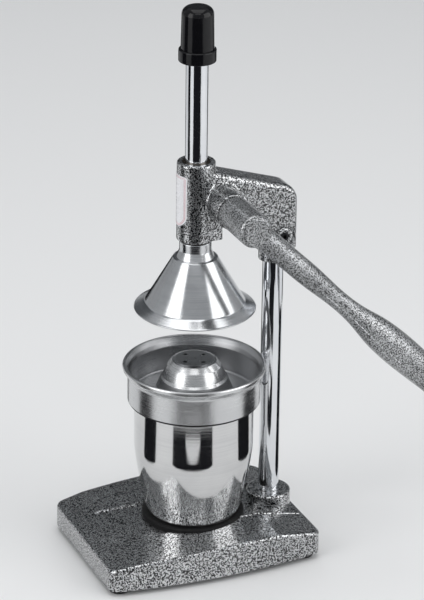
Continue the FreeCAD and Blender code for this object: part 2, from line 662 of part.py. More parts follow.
def key_box(start, end):
    """The key lies half in the shaft and half in the pinion, on the side away from the rack."""
    half = KEY_SIZE / 2
    seat = PINION_Y + SHAFT_RADIUS
    return box(start, end, seat - half, seat + half, PINION_Z - half, PINION_Z + half)


def make_pinion_key():
    return key_box(-PINION_WIDTH / 2, PINION_WIDTH / 2)


def make_pinion_gear():
    half = PINION_WIDTH / 2
    past = half + OVERRUN
    gear = prism_x(pinion_outline(), -half, half)
    return gear.cut(cylinder_x(SHAFT_RADIUS, -past, past)).cut(key_box(-past, past))


def make_pinion_shaft():
    """The shaft runs from the far side of the head into the lever's hub."""
    shaft = cylinder_x(SHAFT_RADIUS, SHAFT_START, ARM_X)
    shaft = shaft.makeChamfer(SHAFT_CHAMFER, edges_where(shaft, lambda p: p.x < SHAFT_START + 0.01))
    groove = cylinder_x(SHAFT_RADIUS + OVERRUN, RING_START, SHAFT_WASHER_START)
    groove = groove.cut(cylinder_x(SHAFT_RADIUS - RING_GROOVE_DEPTH, SHAFT_START, FAR_BOSS_END))
    return shaft.cut(groove).cut(make_pinion_key())


def make_shaft_washer():
    end = SHAFT_WASHER_START + SHAFT_WASHER_THICKNESS
    washer = cylinder_x(SHAFT_WASHER_RADIUS, SHAFT_WASHER_START, end)
    return washer.cut(cylinder_x(SHAFT_RADIUS + RUNNING_FIT, SHAFT_WASHER_START - OVERRUN, end + OVERRUN))


def make_retaining_ring():
    """An open spring ring in the shaft's groove."""
    bore = SHAFT_RADIUS - RING_GROOVE_DEPTH
    ring = cylinder_x(bore + RING_WALL, RING_START, SHAFT_WASHER_START)
    ring = ring.cut(cylinder_x(bore, RING_START - OVERRUN, SHAFT_WASHER_START + OVERRUN))
    half = RING_MOUTH / 2
    return ring.cut(box(RING_START - OVERRUN, SHAFT_WASHER_START + OVERRUN, PINION_Y - half, PINION_Y + half,
                        PINION_Z, PINION_Z + SHAFT_RADIUS + RING_WALL + OVERRUN))


# ---------------------------------------------------------------- lever
def in_lever_place(shape, x):
    """Turn a shape drawn along +Y from the origin into the lever's rest direction at x."""
    shape.rotate(Vector(0, 0, 0), Vector(1, 0, 0), LEVER_ANGLE)
    shape.translate(Vector(x, PINION_Y, PINION_Z))
    return shape


def make_arm():
    """The round arm: an even root, a waist, a swelling grip with a domed end."""
    end_radius = GRIP_RADIUS - GRIP_END_TAPER
    grip_end = LEVER_LENGTH - end_radius
    neck_rise = (GRIP_RADIUS - GRIP_NECK_RADIUS) * GRIP_SWELL_SHARE
    line = [
        Vector(0, ARM_ROOT_LENGTH, ARM_ROOT_RADIUS),
        Vector(0, ARM_WAIST_AT, ARM_WAIST_RADIUS),
        Vector(0, GRIP_NECK_AT, GRIP_NECK_RADIUS),
        Vector(0, (GRIP_NECK_AT + GRIP_FULL_AT) / 2, GRIP_NECK_RADIUS + neck_rise),
        Vector(0, GRIP_FULL_AT, GRIP_RADIUS),
        Vector(0, grip_end, end_radius),
    ]
    curve = Part.BSplineCurve()
    curve.interpolate(line, InitialTangent=Vector(0, 1, 0), FinalTangent=Vector(0, 1, GRIP_END_SLOPE))
    root = Vector(0, 0, ARM_ROOT_RADIUS)
    tip = Vector(0, LEVER_LENGTH, 0)
    turn = math.radians(45)
    shoulder = Vector(0, grip_end + end_radius * math.sin(turn), end_radius * math.cos(turn))
    wire = Part.Wire([
        Part.makeLine(root, line[0]),
        curve.toShape(),
        Part.Arc(line[-1], shoulder, tip).toShape(),
        Part.makeLine(tip, Vector(0, 0, 0)),
        Part.makeLine(Vector(0, 0, 0), root),
    ])
    return in_lever_place(Part.Face(wire).revolve(Vector(0, 0, 0), Vector(0, 1, 0), 360), ARM_X)


def make_lever_arm():
    hub = cylinder_x(HUB_RADIUS, HUB_START, HUB_END)
    hub = hub.makeChamfer(HUB_BEVEL, edges_where(hub, lambda p: p.x > HUB_END - 0.01))
    lever = hub.fuse(make_arm()).cut(cylinder_x(SHAFT_RADIUS, HUB_START - OVERRUN, ARM_X))
    bore = Part.makeCylinder(LEVER_SCREW_RADIUS, HUB_RADIUS + OVERRUN, Vector(0, 0, 0), Vector(0, 1, 0))
    return lever.cut(in_lever_place(bore, LEVER_SCREW_X)).removeSplitter()


def make_lever_set_screw():
    """The set screw that holds the hub on the shaft, its tip shaped to the shaft."""
    start = SHAFT_RADIUS - OVERRUN
    end = SHAFT_RADIUS + LEVER_SCREW_LENGTH
    screw = Part.makeCylinder(LEVER_SCREW_RADIUS, end - start, Vector(0, start, 0), Vector(0, 1, 0))
    socket = hex_prism(SET_SCREW_SOCKET, SET_SCREW_SOCKET_DEPTH)
    socket.rotate(Vector(0, 0, 0), Vector(1, 0, 0), -90)
    socket.translate(Vector(0, end - SET_SCREW_SOCKET_DEPTH, 0))
    screw = in_lever_place(screw.cut(socket), LEVER_SCREW_X)
    return screw.cut(cylinder_x(SHAFT_RADIUS, HUB_START, ARM_X))


# ---------------------------------------------------------------- ram
def rack_gap(centre_z):
    """The space between two rack teeth, with straight flanks at the pressure angle."""
    slope = math.tan(math.radians(PRESSURE_ANGLE))
    half_at_pitch = (RACK_PITCH + BACKLASH) / 4
    half_top = half_at_pitch + slope * (RACK_TIP_Y - RACK_PITCH_Y)
    half_root = half_at_pitch + slope * (RACK_ROOT_Y - RACK_PITCH_Y)
    steps = [(RACK_ROOT_Y, centre_z - half_root), (RACK_TIP_Y, centre_z - half_top),
             (RACK_TIP_Y, centre_z + half_top), (RACK_ROOT_Y, centre_z + half_root)]
    return prism_x(steps, -RACK_SLOT_HALF_WIDTH, RACK_SLOT_HALF_WIDTH)


def make_ram_rack():
    """A round bar with a slot down its rear, the rack's teeth standing on the slot's floor."""
    top = CAP_BOTTOM + CAP_SOCKET_DEPTH
    ram = cylinder_z(RAM_RADIUS, RAM_BOTTOM, top)
    ends = edges_where(ram, lambda p: p.z > top - 0.01 or p.z < RAM_BOTTOM + 0.01)
    ram = ram.makeChamfer(RAM_CHAMFER, ends)
    reach = math.sqrt(PINION_TIP_RADIUS ** 2 - (PINION_Y - RAM_RADIUS) ** 2) + SLOT_RUNOUT
    half = RACK_SLOT_HALF_WIDTH
    slot = box(-half, half, RACK_TIP_Y, RAM_RADIUS + OVERRUN, PINION_Z - reach, PINION_Z + RAM_TRAVEL + reach)
    tooth_reach = math.sqrt(PINION_TIP_RADIUS ** 2 - (PINION_Y - RACK_TIP_Y) ** 2)
    first = -math.ceil(tooth_reach / RACK_PITCH)
    last = math.ceil((RAM_TRAVEL + tooth_reach) / RACK_PITCH)
    gaps = [rack_gap(PINION_Z + k * RACK_PITCH) for k in range(first, last + 1)]
    thread = cylinder_z(CONE_SCREW_RADIUS, RAM_BOTTOM - OVERRUN, RAM_BOTTOM + CONE_SCREW_GRIP + THREAD_SPARE)
    return ram.cut(slot).cut(gaps[0].multiFuse(gaps[1:])).cut(thread)


def make_ram_cap():
    """A domed knob cap with a flange at its lower end, pushed onto the ram."""
    top = CAP_BOTTOM + CAP_HEIGHT
    flange_top = CAP_BOTTOM + CAP_FLANGE_HEIGHT
    cap = turned([
        (0, CAP_BOTTOM), (CAP_FLANGE_RADIUS, CAP_BOTTOM), (CAP_FLANGE_RADIUS, flange_top),
        (CAP_LOW_RADIUS, flange_top), (CAP_TOP_RADIUS, top), (0, top),
    ])
    cap = cap.makeFillet(CAP_SHOULDER, edges_where(cap, lambda p: p.z > top - 0.01))
    cap = cap.makeFillet(CAP_FLANGE_ROUND, edges_where(
        cap, lambda p: math.hypot(p.x, p.y) > CAP_FLANGE_RADIUS - 0.01
        and (p.z < CAP_BOTTOM + 0.01 or p.z > flange_top - 0.01)))
    return cap.cut(cylinder_z(RAM_RADIUS, CAP_BOTTOM - OVERRUN, CAP_BOTTOM + CAP_SOCKET_DEPTH))


def cone_screw_head(clearance):
    """The countersunk head, flush with the cone's inner roof."""
    wide = CONE_SCREW_HEAD_RADIUS + clearance
    depth = wide - CONE_SCREW_RADIUS
    return turned([(0, CONE_ROOF), (wide, CONE_ROOF), (CONE_SCREW_RADIUS, CONE_ROOF + depth),
                   (0, CONE_ROOF + depth)])


def make_press_cone():
    """A thin cone with a neck above and a shallow flange below, hollow from below."""
    shoulder = CONE_RIM + CONE_HEIGHT - CONE_SHOULDER_DROP
    roof_radius = CONE_SHOULDER_RADIUS - CONE_WALL
    brim = CONE_RIM + CONE_BREAK_RISE
    roll = CONE_RIM_ROLL
    cone = turned([
        (0, NECK_TOP),
        (NECK_RADIUS, NECK_TOP),
        (NECK_RADIUS, shoulder + NECK_FOOT_HEIGHT),
        (NECK_RADIUS + NECK_FOOT_WIDTH, shoulder + NECK_FOOT_LIFT),
        (CONE_SHOULDER_RADIUS - CONE_SHOULDER_EDGE, shoulder),
        (CONE_SHOULDER_RADIUS + CONE_SHOULDER_EDGE, shoulder - CONE_SHOULDER_FALL),
        (CONE_BREAK_RADIUS, brim),
        (CONE_RIM_RADIUS - roll, CONE_RIM + roll),
        ((CONE_RIM_RADIUS, CONE_RIM), (CONE_RIM_RADIUS - roll, CONE_RIM - roll)),
        (CONE_RIM_RADIUS - 2 * roll, CONE_RIM),
        (CONE_BREAK_RADIUS - CONE_WALL / 2, brim - CONE_WALL),
        (roof_radius + CONE_ROOF_BEVEL / 2, CONE_ROOF - CONE_ROOF_BEVEL),
        (roof_radius - CONE_ROOF_BEVEL / 2, CONE_ROOF),
        (0, CONE_ROOF),
    ])
    holes = [
        cylinder_z(RAM_RADIUS, RAM_BOTTOM, NECK_TOP + OVERRUN),
        cylinder_z(CONE_SCREW_RADIUS, CONE_ROOF - OVERRUN, NECK_TOP),
        cone_screw_head(SEAT_GAP / 2),
    ]
    return cut_all(cone, holes)


def make_cone_screw():
    shank = cylinder_z(CONE_SCREW_RADIUS, CONE_ROOF + OVERRUN, RAM_BOTTOM + CONE_SCREW_GRIP)
    socket = hex_prism(CONE_SCREW_SOCKET, CONE_SCREW_HEAD_RADIUS - CONE_SCREW_RADIUS)
    socket.translate(Vector(0, 0, CONE_ROOF - OVERRUN))
    return cone_screw_head(0).fuse(shank).cut(socket).removeSplitter()


# ---------------------------------------------------------------- bowl and cup
def cup_radius(height):
    """Outside radius of the cup: straight above the taper's top, an easing taper below it."""
    share = max(0, (CUP_TAPER_TOP - height) / CUP_TAPER_TOP)
    return CUP_RADIUS - (CUP_RADIUS - CUP_FOOT_RADIUS) * share ** CUP_TAPER_POWER


def cup_side(inset):
    """The curve of the cup's tapering side, set in from the outside."""
    steps = 7
    heights = [CUP_BOTTOM_ROUND + (CUP_TAPER_TOP - CUP_BOTTOM_ROUND) * k / steps for k in range(steps + 1)]
    curve = Part.BSplineCurve()
    curve.interpolate([Vector(cup_radius(h) - inset, 0, CUP_BOTTOM + h) for h in heights])
    return curve


def make_juice_cup():
    """A thin drawn cup, straight above, tapering below to a rounded bottom edge."""
    outer, inner = cup_side(0), cup_side(CUP_WALL)
    foot = outer.StartPoint.x - CUP_BOTTOM_ROUND
    floor = CUP_BOTTOM + CUP_WALL
    turn = math.sqrt(0.5)
    outer_bend = Vector(foot + CUP_BOTTOM_ROUND * turn, 0, CUP_BOTTOM + CUP_BOTTOM_ROUND * (1 - turn))
    inner_round = CUP_BOTTOM_ROUND - CUP_WALL
    inner_bend = Vector(foot + inner_round * turn, 0, floor + inner_round * (1 - turn))
    corners = [
        Vector(0, 0, CUP_BOTTOM), Vector(foot, 0, CUP_BOTTOM), Vector(CUP_RADIUS, 0, CUP_TOP),
        Vector(CUP_RADIUS - CUP_WALL, 0, CUP_TOP), Vector(foot, 0, floor), Vector(0, 0, floor),
    ]
    wire = Part.Wire([
        Part.makeLine(corners[0], corners[1]),
        Part.Arc(corners[1], outer_bend, outer.StartPoint).toShape(),
        outer.toShape(),
        Part.makeLine(outer.EndPoint, corners[2]),
        Part.makeLine(corners[2], corners[3]),
        Part.makeLine(corners[3], inner.EndPoint),
        inner.toShape(),
        Part.Arc(inner.StartPoint, inner_bend, corners[4]).toShape(),
        Part.makeLine(corners[4], corners[5]),
        Part.makeLine(corners[5], corners[0]),
    ])
    return Part.Face(wire).revolve(Vector(0, 0, 0), Vector(0, 0, 1), 360)


def dome_line(wall):
    """The dome and its skirt from the axis out and down, set in by wall from the outer face."""
    top = BOWL_FLOOR_TOP + DOME_HEIGHT
    crease = BOWL_FLOOR_TOP + DOME_CREASE_HEIGHT
    sink = wall / 2
    inset = wall * math.sqrt(0.5)
    reach = DOME_FLAT_RADIUS + (DOME_SHOULDER_RADIUS - DOME_FLAT_RADIUS) * DOME_BEND_REACH
    bend = (reach - inset, top - DOME_SHOULDER_DROP * DOME_BEND_FALL - inset)
    return [
        (0, top - wall),
        (DOME_FLAT_RADIUS - wall / 2, top - wall),
        (bend, (DOME_SHOULDER_RADIUS - wall, top - DOME_SHOULDER_DROP - sink)),
        (DOME_CREASE_RADIUS - wall, crease - sink),
        (DOME_CREASE_RADIUS - wall + DOME_LEDGE, crease - DOME_LEDGE - sink),
    ]


def bowl_wall_line():
    """From the floor's outer corner up the wall's inside, round the rim, down its outside."""
    inside = BOWL_WALL_RADIUS - BOWL_WALL
    corner = BOWL_FLOOR_ROUND * (1 - math.sqrt(0.5))
    bead = BOWL_BEAD_RADIUS
    bead_r = BOWL_RIM_RADIUS - bead
    flare = BOWL_TOP - BOWL_FLARE_HEIGHT
    return [
        (inside - BOWL_FLOOR_ROUND, BOWL_FLOOR_TOP),
        ((inside - corner, BOWL_FLOOR_TOP + corner), (inside, BOWL_FLOOR_TOP + BOWL_FLOOR_ROUND)),
        (inside, flare),
        (inside + BOWL_WALL / 2, flare + BOWL_FLARE_HEIGHT / 2),
        (bead_r - bead, BOWL_TOP),
        ((bead_r, BOWL_TOP + bead), (BOWL_RIM_RADIUS, BOWL_TOP)),
        (BOWL_RIM_RADIUS - bead / 2, BOWL_TOP - 2 * bead),
        (BOWL_WALL_RADIUS + BOWL_WALL / 4, flare),
        (BOWL_WALL_RADIUS, flare - BOWL_BEAD_RADIUS),
        (BOWL_WALL_RADIUS, BOWL_SEAT),
        (BOWL_WALL_RADIUS - BOWL_WALL / 2, BOWL_SEAT - BOWL_APRON),
        (inside, BOWL_SEAT - BOWL_APRON),
        (inside, BOWL_SEAT),
    ]


def make_strainer_bowl():
    """Bowl wall, floor and squeezing dome in one piece, with a spigot that drops into the cup."""
    spigot = CUP_RADIUS - CUP_WALL - BOWL_SPIGOT_CLEARANCE
    spigot_end = BOWL_SEAT - BOWL_SPIGOT_DEPTH
    skirt_inside = SKIRT_FOOT_RADIUS - DOME_WALL
    underside = [(spigot, BOWL_SEAT), (spigot, spigot_end), (spigot - BOWL_SPIGOT_WALL, spigot_end),
                 (spigot - BOWL_SPIGOT_WALL, BOWL_SEAT), (skirt_inside, BOWL_SEAT)]
    inner_steps = dome_line(DOME_WALL)
    shoulder_bend, shoulder = inner_steps[2]
    inside = [inner_steps[4], inner_steps[3], shoulder, (shoulder_bend, inner_steps[1]), inner_steps[0]]
    outside = dome_line(0) + [(SKIRT_FOOT_RADIUS, BOWL_FLOOR_TOP)] + bowl_wall_line()
    bowl = turned(outside + underside + inside)
    holes = [cylinder_z(DOME_HOLE_RADIUS, BOWL_FLOOR_TOP, BOWL_TOP + DOME_HEIGHT, x, y)
             for x, y in ring_places(DOME_HOLES, DOME_HOLE_CIRCLE, BOWL_TURN + 45)]
    holes += [cylinder_z(DRAIN_HOLE_RADIUS, BOWL_SEAT - OVERRUN, BOWL_FLOOR_TOP + OVERRUN, x, y)
              for x, y in ring_places(DRAIN_HOLES, DRAIN_CIRCLE, BOWL_TURN)]
    return cut_all(bowl, holes)


def ring_places(count, radius, start_degrees):
    """Centres of holes evenly spaced round the axis."""
    angles = [math.radians(start_degrees + 360 * k / count) for k in range(count)]
    return [(radius * math.cos(angle), radius * math.sin(angle)) for angle in angles]


# ---------------------------------------------------------------- all nodes
def make_nodes():
    nodes = {
        "base_casting": make_base_casting(),
        "foot_screws": make_foot_screws(),
        "cup_pad": make_cup_pad(),
        "column": make_column(),
        "column_washer": make_column_washer(),
        "column_bolt": make_column_bolt(),
        "head_casting": make_head_casting(),
        "column_set_screw": make_column_set_screw(),
        "ram_guide_upper": make_upper_guide(),
        "ram_guide_lower": make_lower_guide(),
        "shaft_bush_near": make_shaft_bush(CAVITY_HALF_WIDTH, NEAR_BOSS_END),
        "shaft_bush_far": make_shaft_bush(FAR_BOSS_END, -CAVITY_HALF_WIDTH),
        "label_plate": make_label_plate(),
        "pinion_gear": make_pinion_gear(),
        "pinion_shaft": make_pinion_shaft(),
        "pinion_key": make_pinion_key(),
        "shaft_washer": make_shaft_washer(),
        "shaft_retaining_ring": make_retaining_ring(),
        "lever_arm": make_lever_arm(),
        "lever_set_screw": make_lever_set_screw(),
        "ram_rack": make_ram_rack(),
        "ram_cap": make_ram_cap(),
        "press_cone": make_press_cone(),
        "cone_screw": make_cone_screw(),
        "strainer_bowl": make_strainer_bowl(),
        "juice_cup": make_juice_cup(),
    }
    for name, (x, y) in foot_places().items():
        nodes[name] = make_foot(x, y)
    return nodes


os.makedirs("parts", exist_ok=True)
for node_name, node_shape in make_nodes().items():
    node_shape.exportStep("parts/" + node_name + ".step")
    size = node_shape.BoundBox
    print(node_name, "valid", node_shape.isValid(), "solids", len(node_shape.Solids),
          "volume cm3", round(node_shape.Volume / 1000, 2),
          "z", round(size.ZMin, 1), round(size.ZMax, 1))
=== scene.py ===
# %% [markdown]
# # A hand-lever citrus press, dressed over its working frame
#
# The real object is a small kitchen press. A cast base carries a plated column, the column
# carries a cast head, and in the head a plated ram goes up and down under a lever. The frame
# loaded here already has every piece at its right size, so this lesson only adds what makes
# them look real: soft cast edges, spun and polished metal, paint, rubber and moulded plastic.

# %% Open the frame
import json
import math

import bmesh
import bpy
import numpy as np
from mathutils import Matrix, Vector
from mathutils.bvhtree import BVHTree


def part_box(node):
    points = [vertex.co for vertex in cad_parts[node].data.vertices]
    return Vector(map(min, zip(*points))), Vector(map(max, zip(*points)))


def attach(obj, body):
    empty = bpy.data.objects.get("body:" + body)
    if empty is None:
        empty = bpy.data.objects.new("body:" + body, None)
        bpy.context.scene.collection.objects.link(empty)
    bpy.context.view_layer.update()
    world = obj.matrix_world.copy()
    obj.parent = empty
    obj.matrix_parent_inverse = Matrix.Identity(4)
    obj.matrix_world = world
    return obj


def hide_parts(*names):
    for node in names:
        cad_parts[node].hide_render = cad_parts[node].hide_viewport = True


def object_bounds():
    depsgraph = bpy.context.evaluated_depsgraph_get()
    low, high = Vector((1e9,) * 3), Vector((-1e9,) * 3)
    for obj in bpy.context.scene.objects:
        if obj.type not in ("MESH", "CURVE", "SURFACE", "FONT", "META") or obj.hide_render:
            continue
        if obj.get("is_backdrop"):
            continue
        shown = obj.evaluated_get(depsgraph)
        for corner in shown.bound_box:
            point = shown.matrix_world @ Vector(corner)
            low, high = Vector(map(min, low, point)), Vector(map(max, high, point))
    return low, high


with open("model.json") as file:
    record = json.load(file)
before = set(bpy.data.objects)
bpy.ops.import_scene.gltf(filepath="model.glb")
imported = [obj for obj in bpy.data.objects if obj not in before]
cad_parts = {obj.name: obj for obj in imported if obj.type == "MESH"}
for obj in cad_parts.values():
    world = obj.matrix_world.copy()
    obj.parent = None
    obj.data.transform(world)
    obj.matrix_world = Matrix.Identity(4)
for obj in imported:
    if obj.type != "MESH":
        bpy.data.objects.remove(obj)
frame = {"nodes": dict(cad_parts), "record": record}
cad_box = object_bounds()
MM = 0.001
scene = bpy.context.scene
scene.view_settings.view_transform = "Standard"

# %% [markdown]
# ## The camera
#
# A long lens from two metres and more keeps the upright rods nearly parallel. The camera
# looks down about 24 degrees from the lever's side, so that the cup, the bowl's inside and
# the top of the base all show. Its axes come from three angles: how far round it stands, how
# high it looks from, and how much it leans.

# %% Place the camera
VIEW_TURN = 66.8
VIEW_AZIMUTH = math.radians(VIEW_TURN)
VIEW_RISE = math.radians(23.617)
VIEW_ROLL = math.radians(0.744)
CAMERA_PLACE = Vector((2.2688, -0.9558, 1.3205))
LENS, SENSOR_WIDTH = 180, 36
SEES_AS_FAR_AS = 60

across = Vector((math.cos(VIEW_AZIMUTH), math.sin(VIEW_AZIMUTH), 0))
towards = Vector((math.sin(VIEW_AZIMUTH) * math.cos(VIEW_RISE),
                  -math.cos(VIEW_AZIMUTH) * math.cos(VIEW_RISE), math.sin(VIEW_RISE)))
upward = towards.cross(across)
camera_x = across * math.cos(VIEW_ROLL) + upward * math.sin(VIEW_ROLL)
camera_y = upward * math.cos(VIEW_ROLL) - across * math.sin(VIEW_ROLL)

camera = bpy.data.objects.new("camera", bpy.data.cameras.new("camera"))
scene.collection.objects.link(camera)
camera.data.lens = LENS
camera.data.sensor_width = SENSOR_WIDTH
camera.data.clip_end = SEES_AS_FAR_AS
turn = Matrix((camera_x, camera_y, towards)).transposed()
camera.matrix_world = Matrix.Translation(CAMERA_PLACE) @ turn.to_4x4()
scene.camera = camera
print("camera is", round(CAMERA_PLACE.length, 2), "m from the ram's foot")

# %% [markdown]
# ## The studio
#
# Polished metal has no look of its own: it shows the room. So the room is simple. A pale
# floor sweeps up into a low pale wall, and is round, to look the same from every side.

# %% Build the floor
FLOOR_REACH = 7.0
WALL_HEIGHT = 1.8
SWEEP = 0.6
SWEEP_STEPS = 12
FLOOR_SIDES = 96
FLOOR_DROP = 0.0003
MATT = 0.9


def mesh_object(name, points, faces, material):
    """A new smooth mesh object from plain lists, linked into the scene."""
    mesh = bpy.data.meshes.new(name)
    mesh.from_pydata([tuple(p) for p in points], [], faces)
    mesh.polygons.foreach_set("use_smooth", [True] * len(mesh.polygons))
    mesh.materials.append(material)
    made = bpy.data.objects.new(name, mesh)
    scene.collection.objects.link(made)
    return made


def plain_finish(name, colour):
    """A matt finish in one colour, for what isn't part of the press."""
    made = bpy.data.materials.new(name)
    made.use_nodes = True
    shader = made.node_tree.nodes["Principled BSDF"]
    shader.inputs["Base Color"].default_value = (*colour, 1)
    shader.inputs["Roughness"].default_value = MATT
    shader.inputs["Specular IOR Level"].default_value = 0.0
    return made


def sweep_floor():
    """A round floor that curves up into a low wall."""
    line = [(FLOOR_REACH - SWEEP, 0.0)]
    line += [(FLOOR_REACH - SWEEP + SWEEP * math.sin(a), SWEEP - SWEEP * math.cos(a))
             for a in np.linspace(0.1, math.pi / 2, SWEEP_STEPS)]
    line.append((FLOOR_REACH, WALL_HEIGHT))
    round_floor = [2 * math.pi * k / FLOOR_SIDES for k in range(FLOOR_SIDES)]
    points = [(0, 0, -FLOOR_DROP)]
    points += [(r * math.cos(a), r * math.sin(a), z - FLOOR_DROP) for r, z in line for a in round_floor]
    faces = [(0, 1 + k, 1 + (k + 1) % FLOOR_SIDES) for k in range(FLOOR_SIDES)]
    for low in range(1, 1 + (len(line) - 1) * FLOOR_SIDES, FLOOR_SIDES):
        high = low + FLOOR_SIDES
        for k in range(FLOOR_SIDES):
            after = (k + 1) % FLOOR_SIDES
            faces.append((low + k, high + k, high + after, low + after))
    return mesh_object("studio_floor", points, faces, plain_finish("pale_floor", (0.84, 0.84, 0.84)))


floor = sweep_floor()
floor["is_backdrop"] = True
print("floor faces:", len(floor.data.polygons))

# %% [markdown]
# ### Lamps
#
# Soft lamps as wide as doors stand left and right, and others hang above, behind and over
# the camera. A wide lamp gives soft shadows and long, calm reflections. A small one would
# only leave white dots on the metal.

# %% Hang the lamps
AIR_COLOUR, AIR_STRENGTH = (0.62, 0.64, 0.66, 1), 0.62
OVER_PLACE = (0, 0.02, 2.7)


def bearing(offset):
    """A level direction, counted in degrees from the camera's side, positive to its right."""
    a = math.radians(VIEW_TURN + offset)
    return Vector((math.sin(a), -math.cos(a), 0))


def lamp(name, offset, distance, bottom, top, width, power):
    """A tall soft lamp that stands upright and faces the object."""
    light = bpy.data.lights.new(name, "AREA")
    light.shape = "RECTANGLE"
    light.size, light.size_y = width, top - bottom
    light.energy = power
    made = bpy.data.objects.new(name, light)
    scene.collection.objects.link(made)
    made.location = bearing(offset) * distance + Vector((0, 0, (bottom + top) / 2))
    made.rotation_euler = bearing(offset).to_track_quat("Z", "Y").to_euler()
    made.visible_camera = False
    return made


lamp("lamp_left", -54, 2.2, 0.1, 2.4, 1.35, 22)
lamp("lamp_right", 72, 2.2, 0.1, 2.4, 2.3, 30)
lamp("lamp_behind", 190, 2.4, 1.3, 2.3, 1.4, 7)
lamp("lamp_front", 0, 1.8, 2.1, 3.4, 1.6, 9)
over = lamp("lamp_over", 0, 0.0, 2.6, 4.8, 2.2, 21)
over.location, over.rotation_euler = OVER_PLACE, (0, 0, VIEW_AZIMUTH)

world = bpy.data.worlds.new("studio_air")
scene.world = world
world.use_nodes = True
air = world.node_tree.nodes["Background"].inputs
air["Color"].default_value = AIR_COLOUR
air["Strength"].default_value = AIR_STRENGTH

# %% [markdown]
# ### Dark cards
#
# A plated rod in a white room looks white, flat and lost. A photographer lays black cards
# round it, and their reflections become the dark stripes that make it look round. These
# cards are seen by glossy rays only, so they darken nothing else. Most lie on the floor,
# because an upright rod seen from above shows the floor. The ones in front leave a light
# gap between them, which the cup shows as a window. A grey one stands behind, and darkens
# what lies flat, such as the top of the base.

# %% Helpers for the cards
CARD_BLACK = plain_finish("dark_card", (0.012, 0.012, 0.014))
CARD_GREY = plain_finish("grey_card", (0.085, 0.09, 0.095))
FAN_STEPS = 25
SCREEN_STEPS = 13
CARD_LIFT = 0.0004


def reflection_only(card):
    """Hide a card from everything but the rays that shiny surfaces send out."""
    card.visible_camera = card.visible_diffuse = card.visible_shadow = False
    card.visible_transmission = card.visible_volume_scatter = False
    card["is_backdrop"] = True
    return card


def strip_faces(steps):
    """Faces between two rows of points."""
    return [(k, k + 1, k + 1 + steps, k + steps) for k in range(steps - 1)]


def floor_card(name, left, right, near, far, rounded=0.0, hollow=0.0):
    """A dark fan on the floor, between two bearings and two distances; its edges may be rounded."""
    steps = np.linspace(left, right, FAN_STEPS)
    to_side = np.minimum(np.abs(2 * (steps - left) / (right - left) - 1), 1)
    nearer = near + rounded * (1 - np.sqrt(1 - to_side ** 3))
    further = far + hollow * to_side ** 3
    points = [bearing(o) * r + Vector((0, 0, CARD_LIFT))
              for row in (nearer, further) for o, r in zip(steps, row)]
    return reflection_only(mesh_object(name, points, strip_faces(FAN_STEPS), CARD_BLACK))


def standing_card(name, left, right, distance, bottom, top):
    """A grey curved screen that stands round part of the object."""
    steps = np.linspace(left, right, SCREEN_STEPS)
    points = [bearing(o) * distance + Vector((0, 0, z)) for z in (bottom, top) for o in steps]
    return reflection_only(mesh_object(name, points, strip_faces(SCREEN_STEPS), CARD_GREY))


print("ready to lay cards")

# %% Lay the cards, with bearings in degrees and distances in metres
floor_card("card_front_foot", -36, 34, 0.185, 0.236, rounded=0.065)
floor_card("card_front_sill", -14, 13, 0.230, 0.262, hollow=0.055)
floor_card("card_front_left", -36, -13.5, 0.232, 0.330)
floor_card("card_front_right", 12.5, 34, 0.232, 0.330)
floor_card("card_front_lintel", -36, 34, 0.322, 0.350)
floor_card("card_front_band", -27, 26, 0.400, 0.620)
floor_card("card_front_far", -37, 35, 0.600, 2.4)
floor_card("card_left", -100, -70, 0.190, 2.4, rounded=0.03)
floor_card("card_right", 88, 124, 0.190, 0.60, rounded=0.03)
floor_card("card_right_far", 126, 146, 0.60, 2.4)
floor_card("card_back", 176, 214, 0.3, 2.4)
standing_card("card_behind", 128, 232, 1.9, 0.45, 1.95)

# %% [markdown]
# ## Finishes
#
# Each finish is one material made of nodes. All of them read Object coordinates, in metres,
# so a grain of two millimetres stays two millimetres on every piece. A small class holds
# one material and puts nodes in its tree, which keeps the recipes below short.

# %% The finish helper
FIRST_COLOUR, SECOND_COLOUR, MIXED_COLOUR = 6, 7, 2


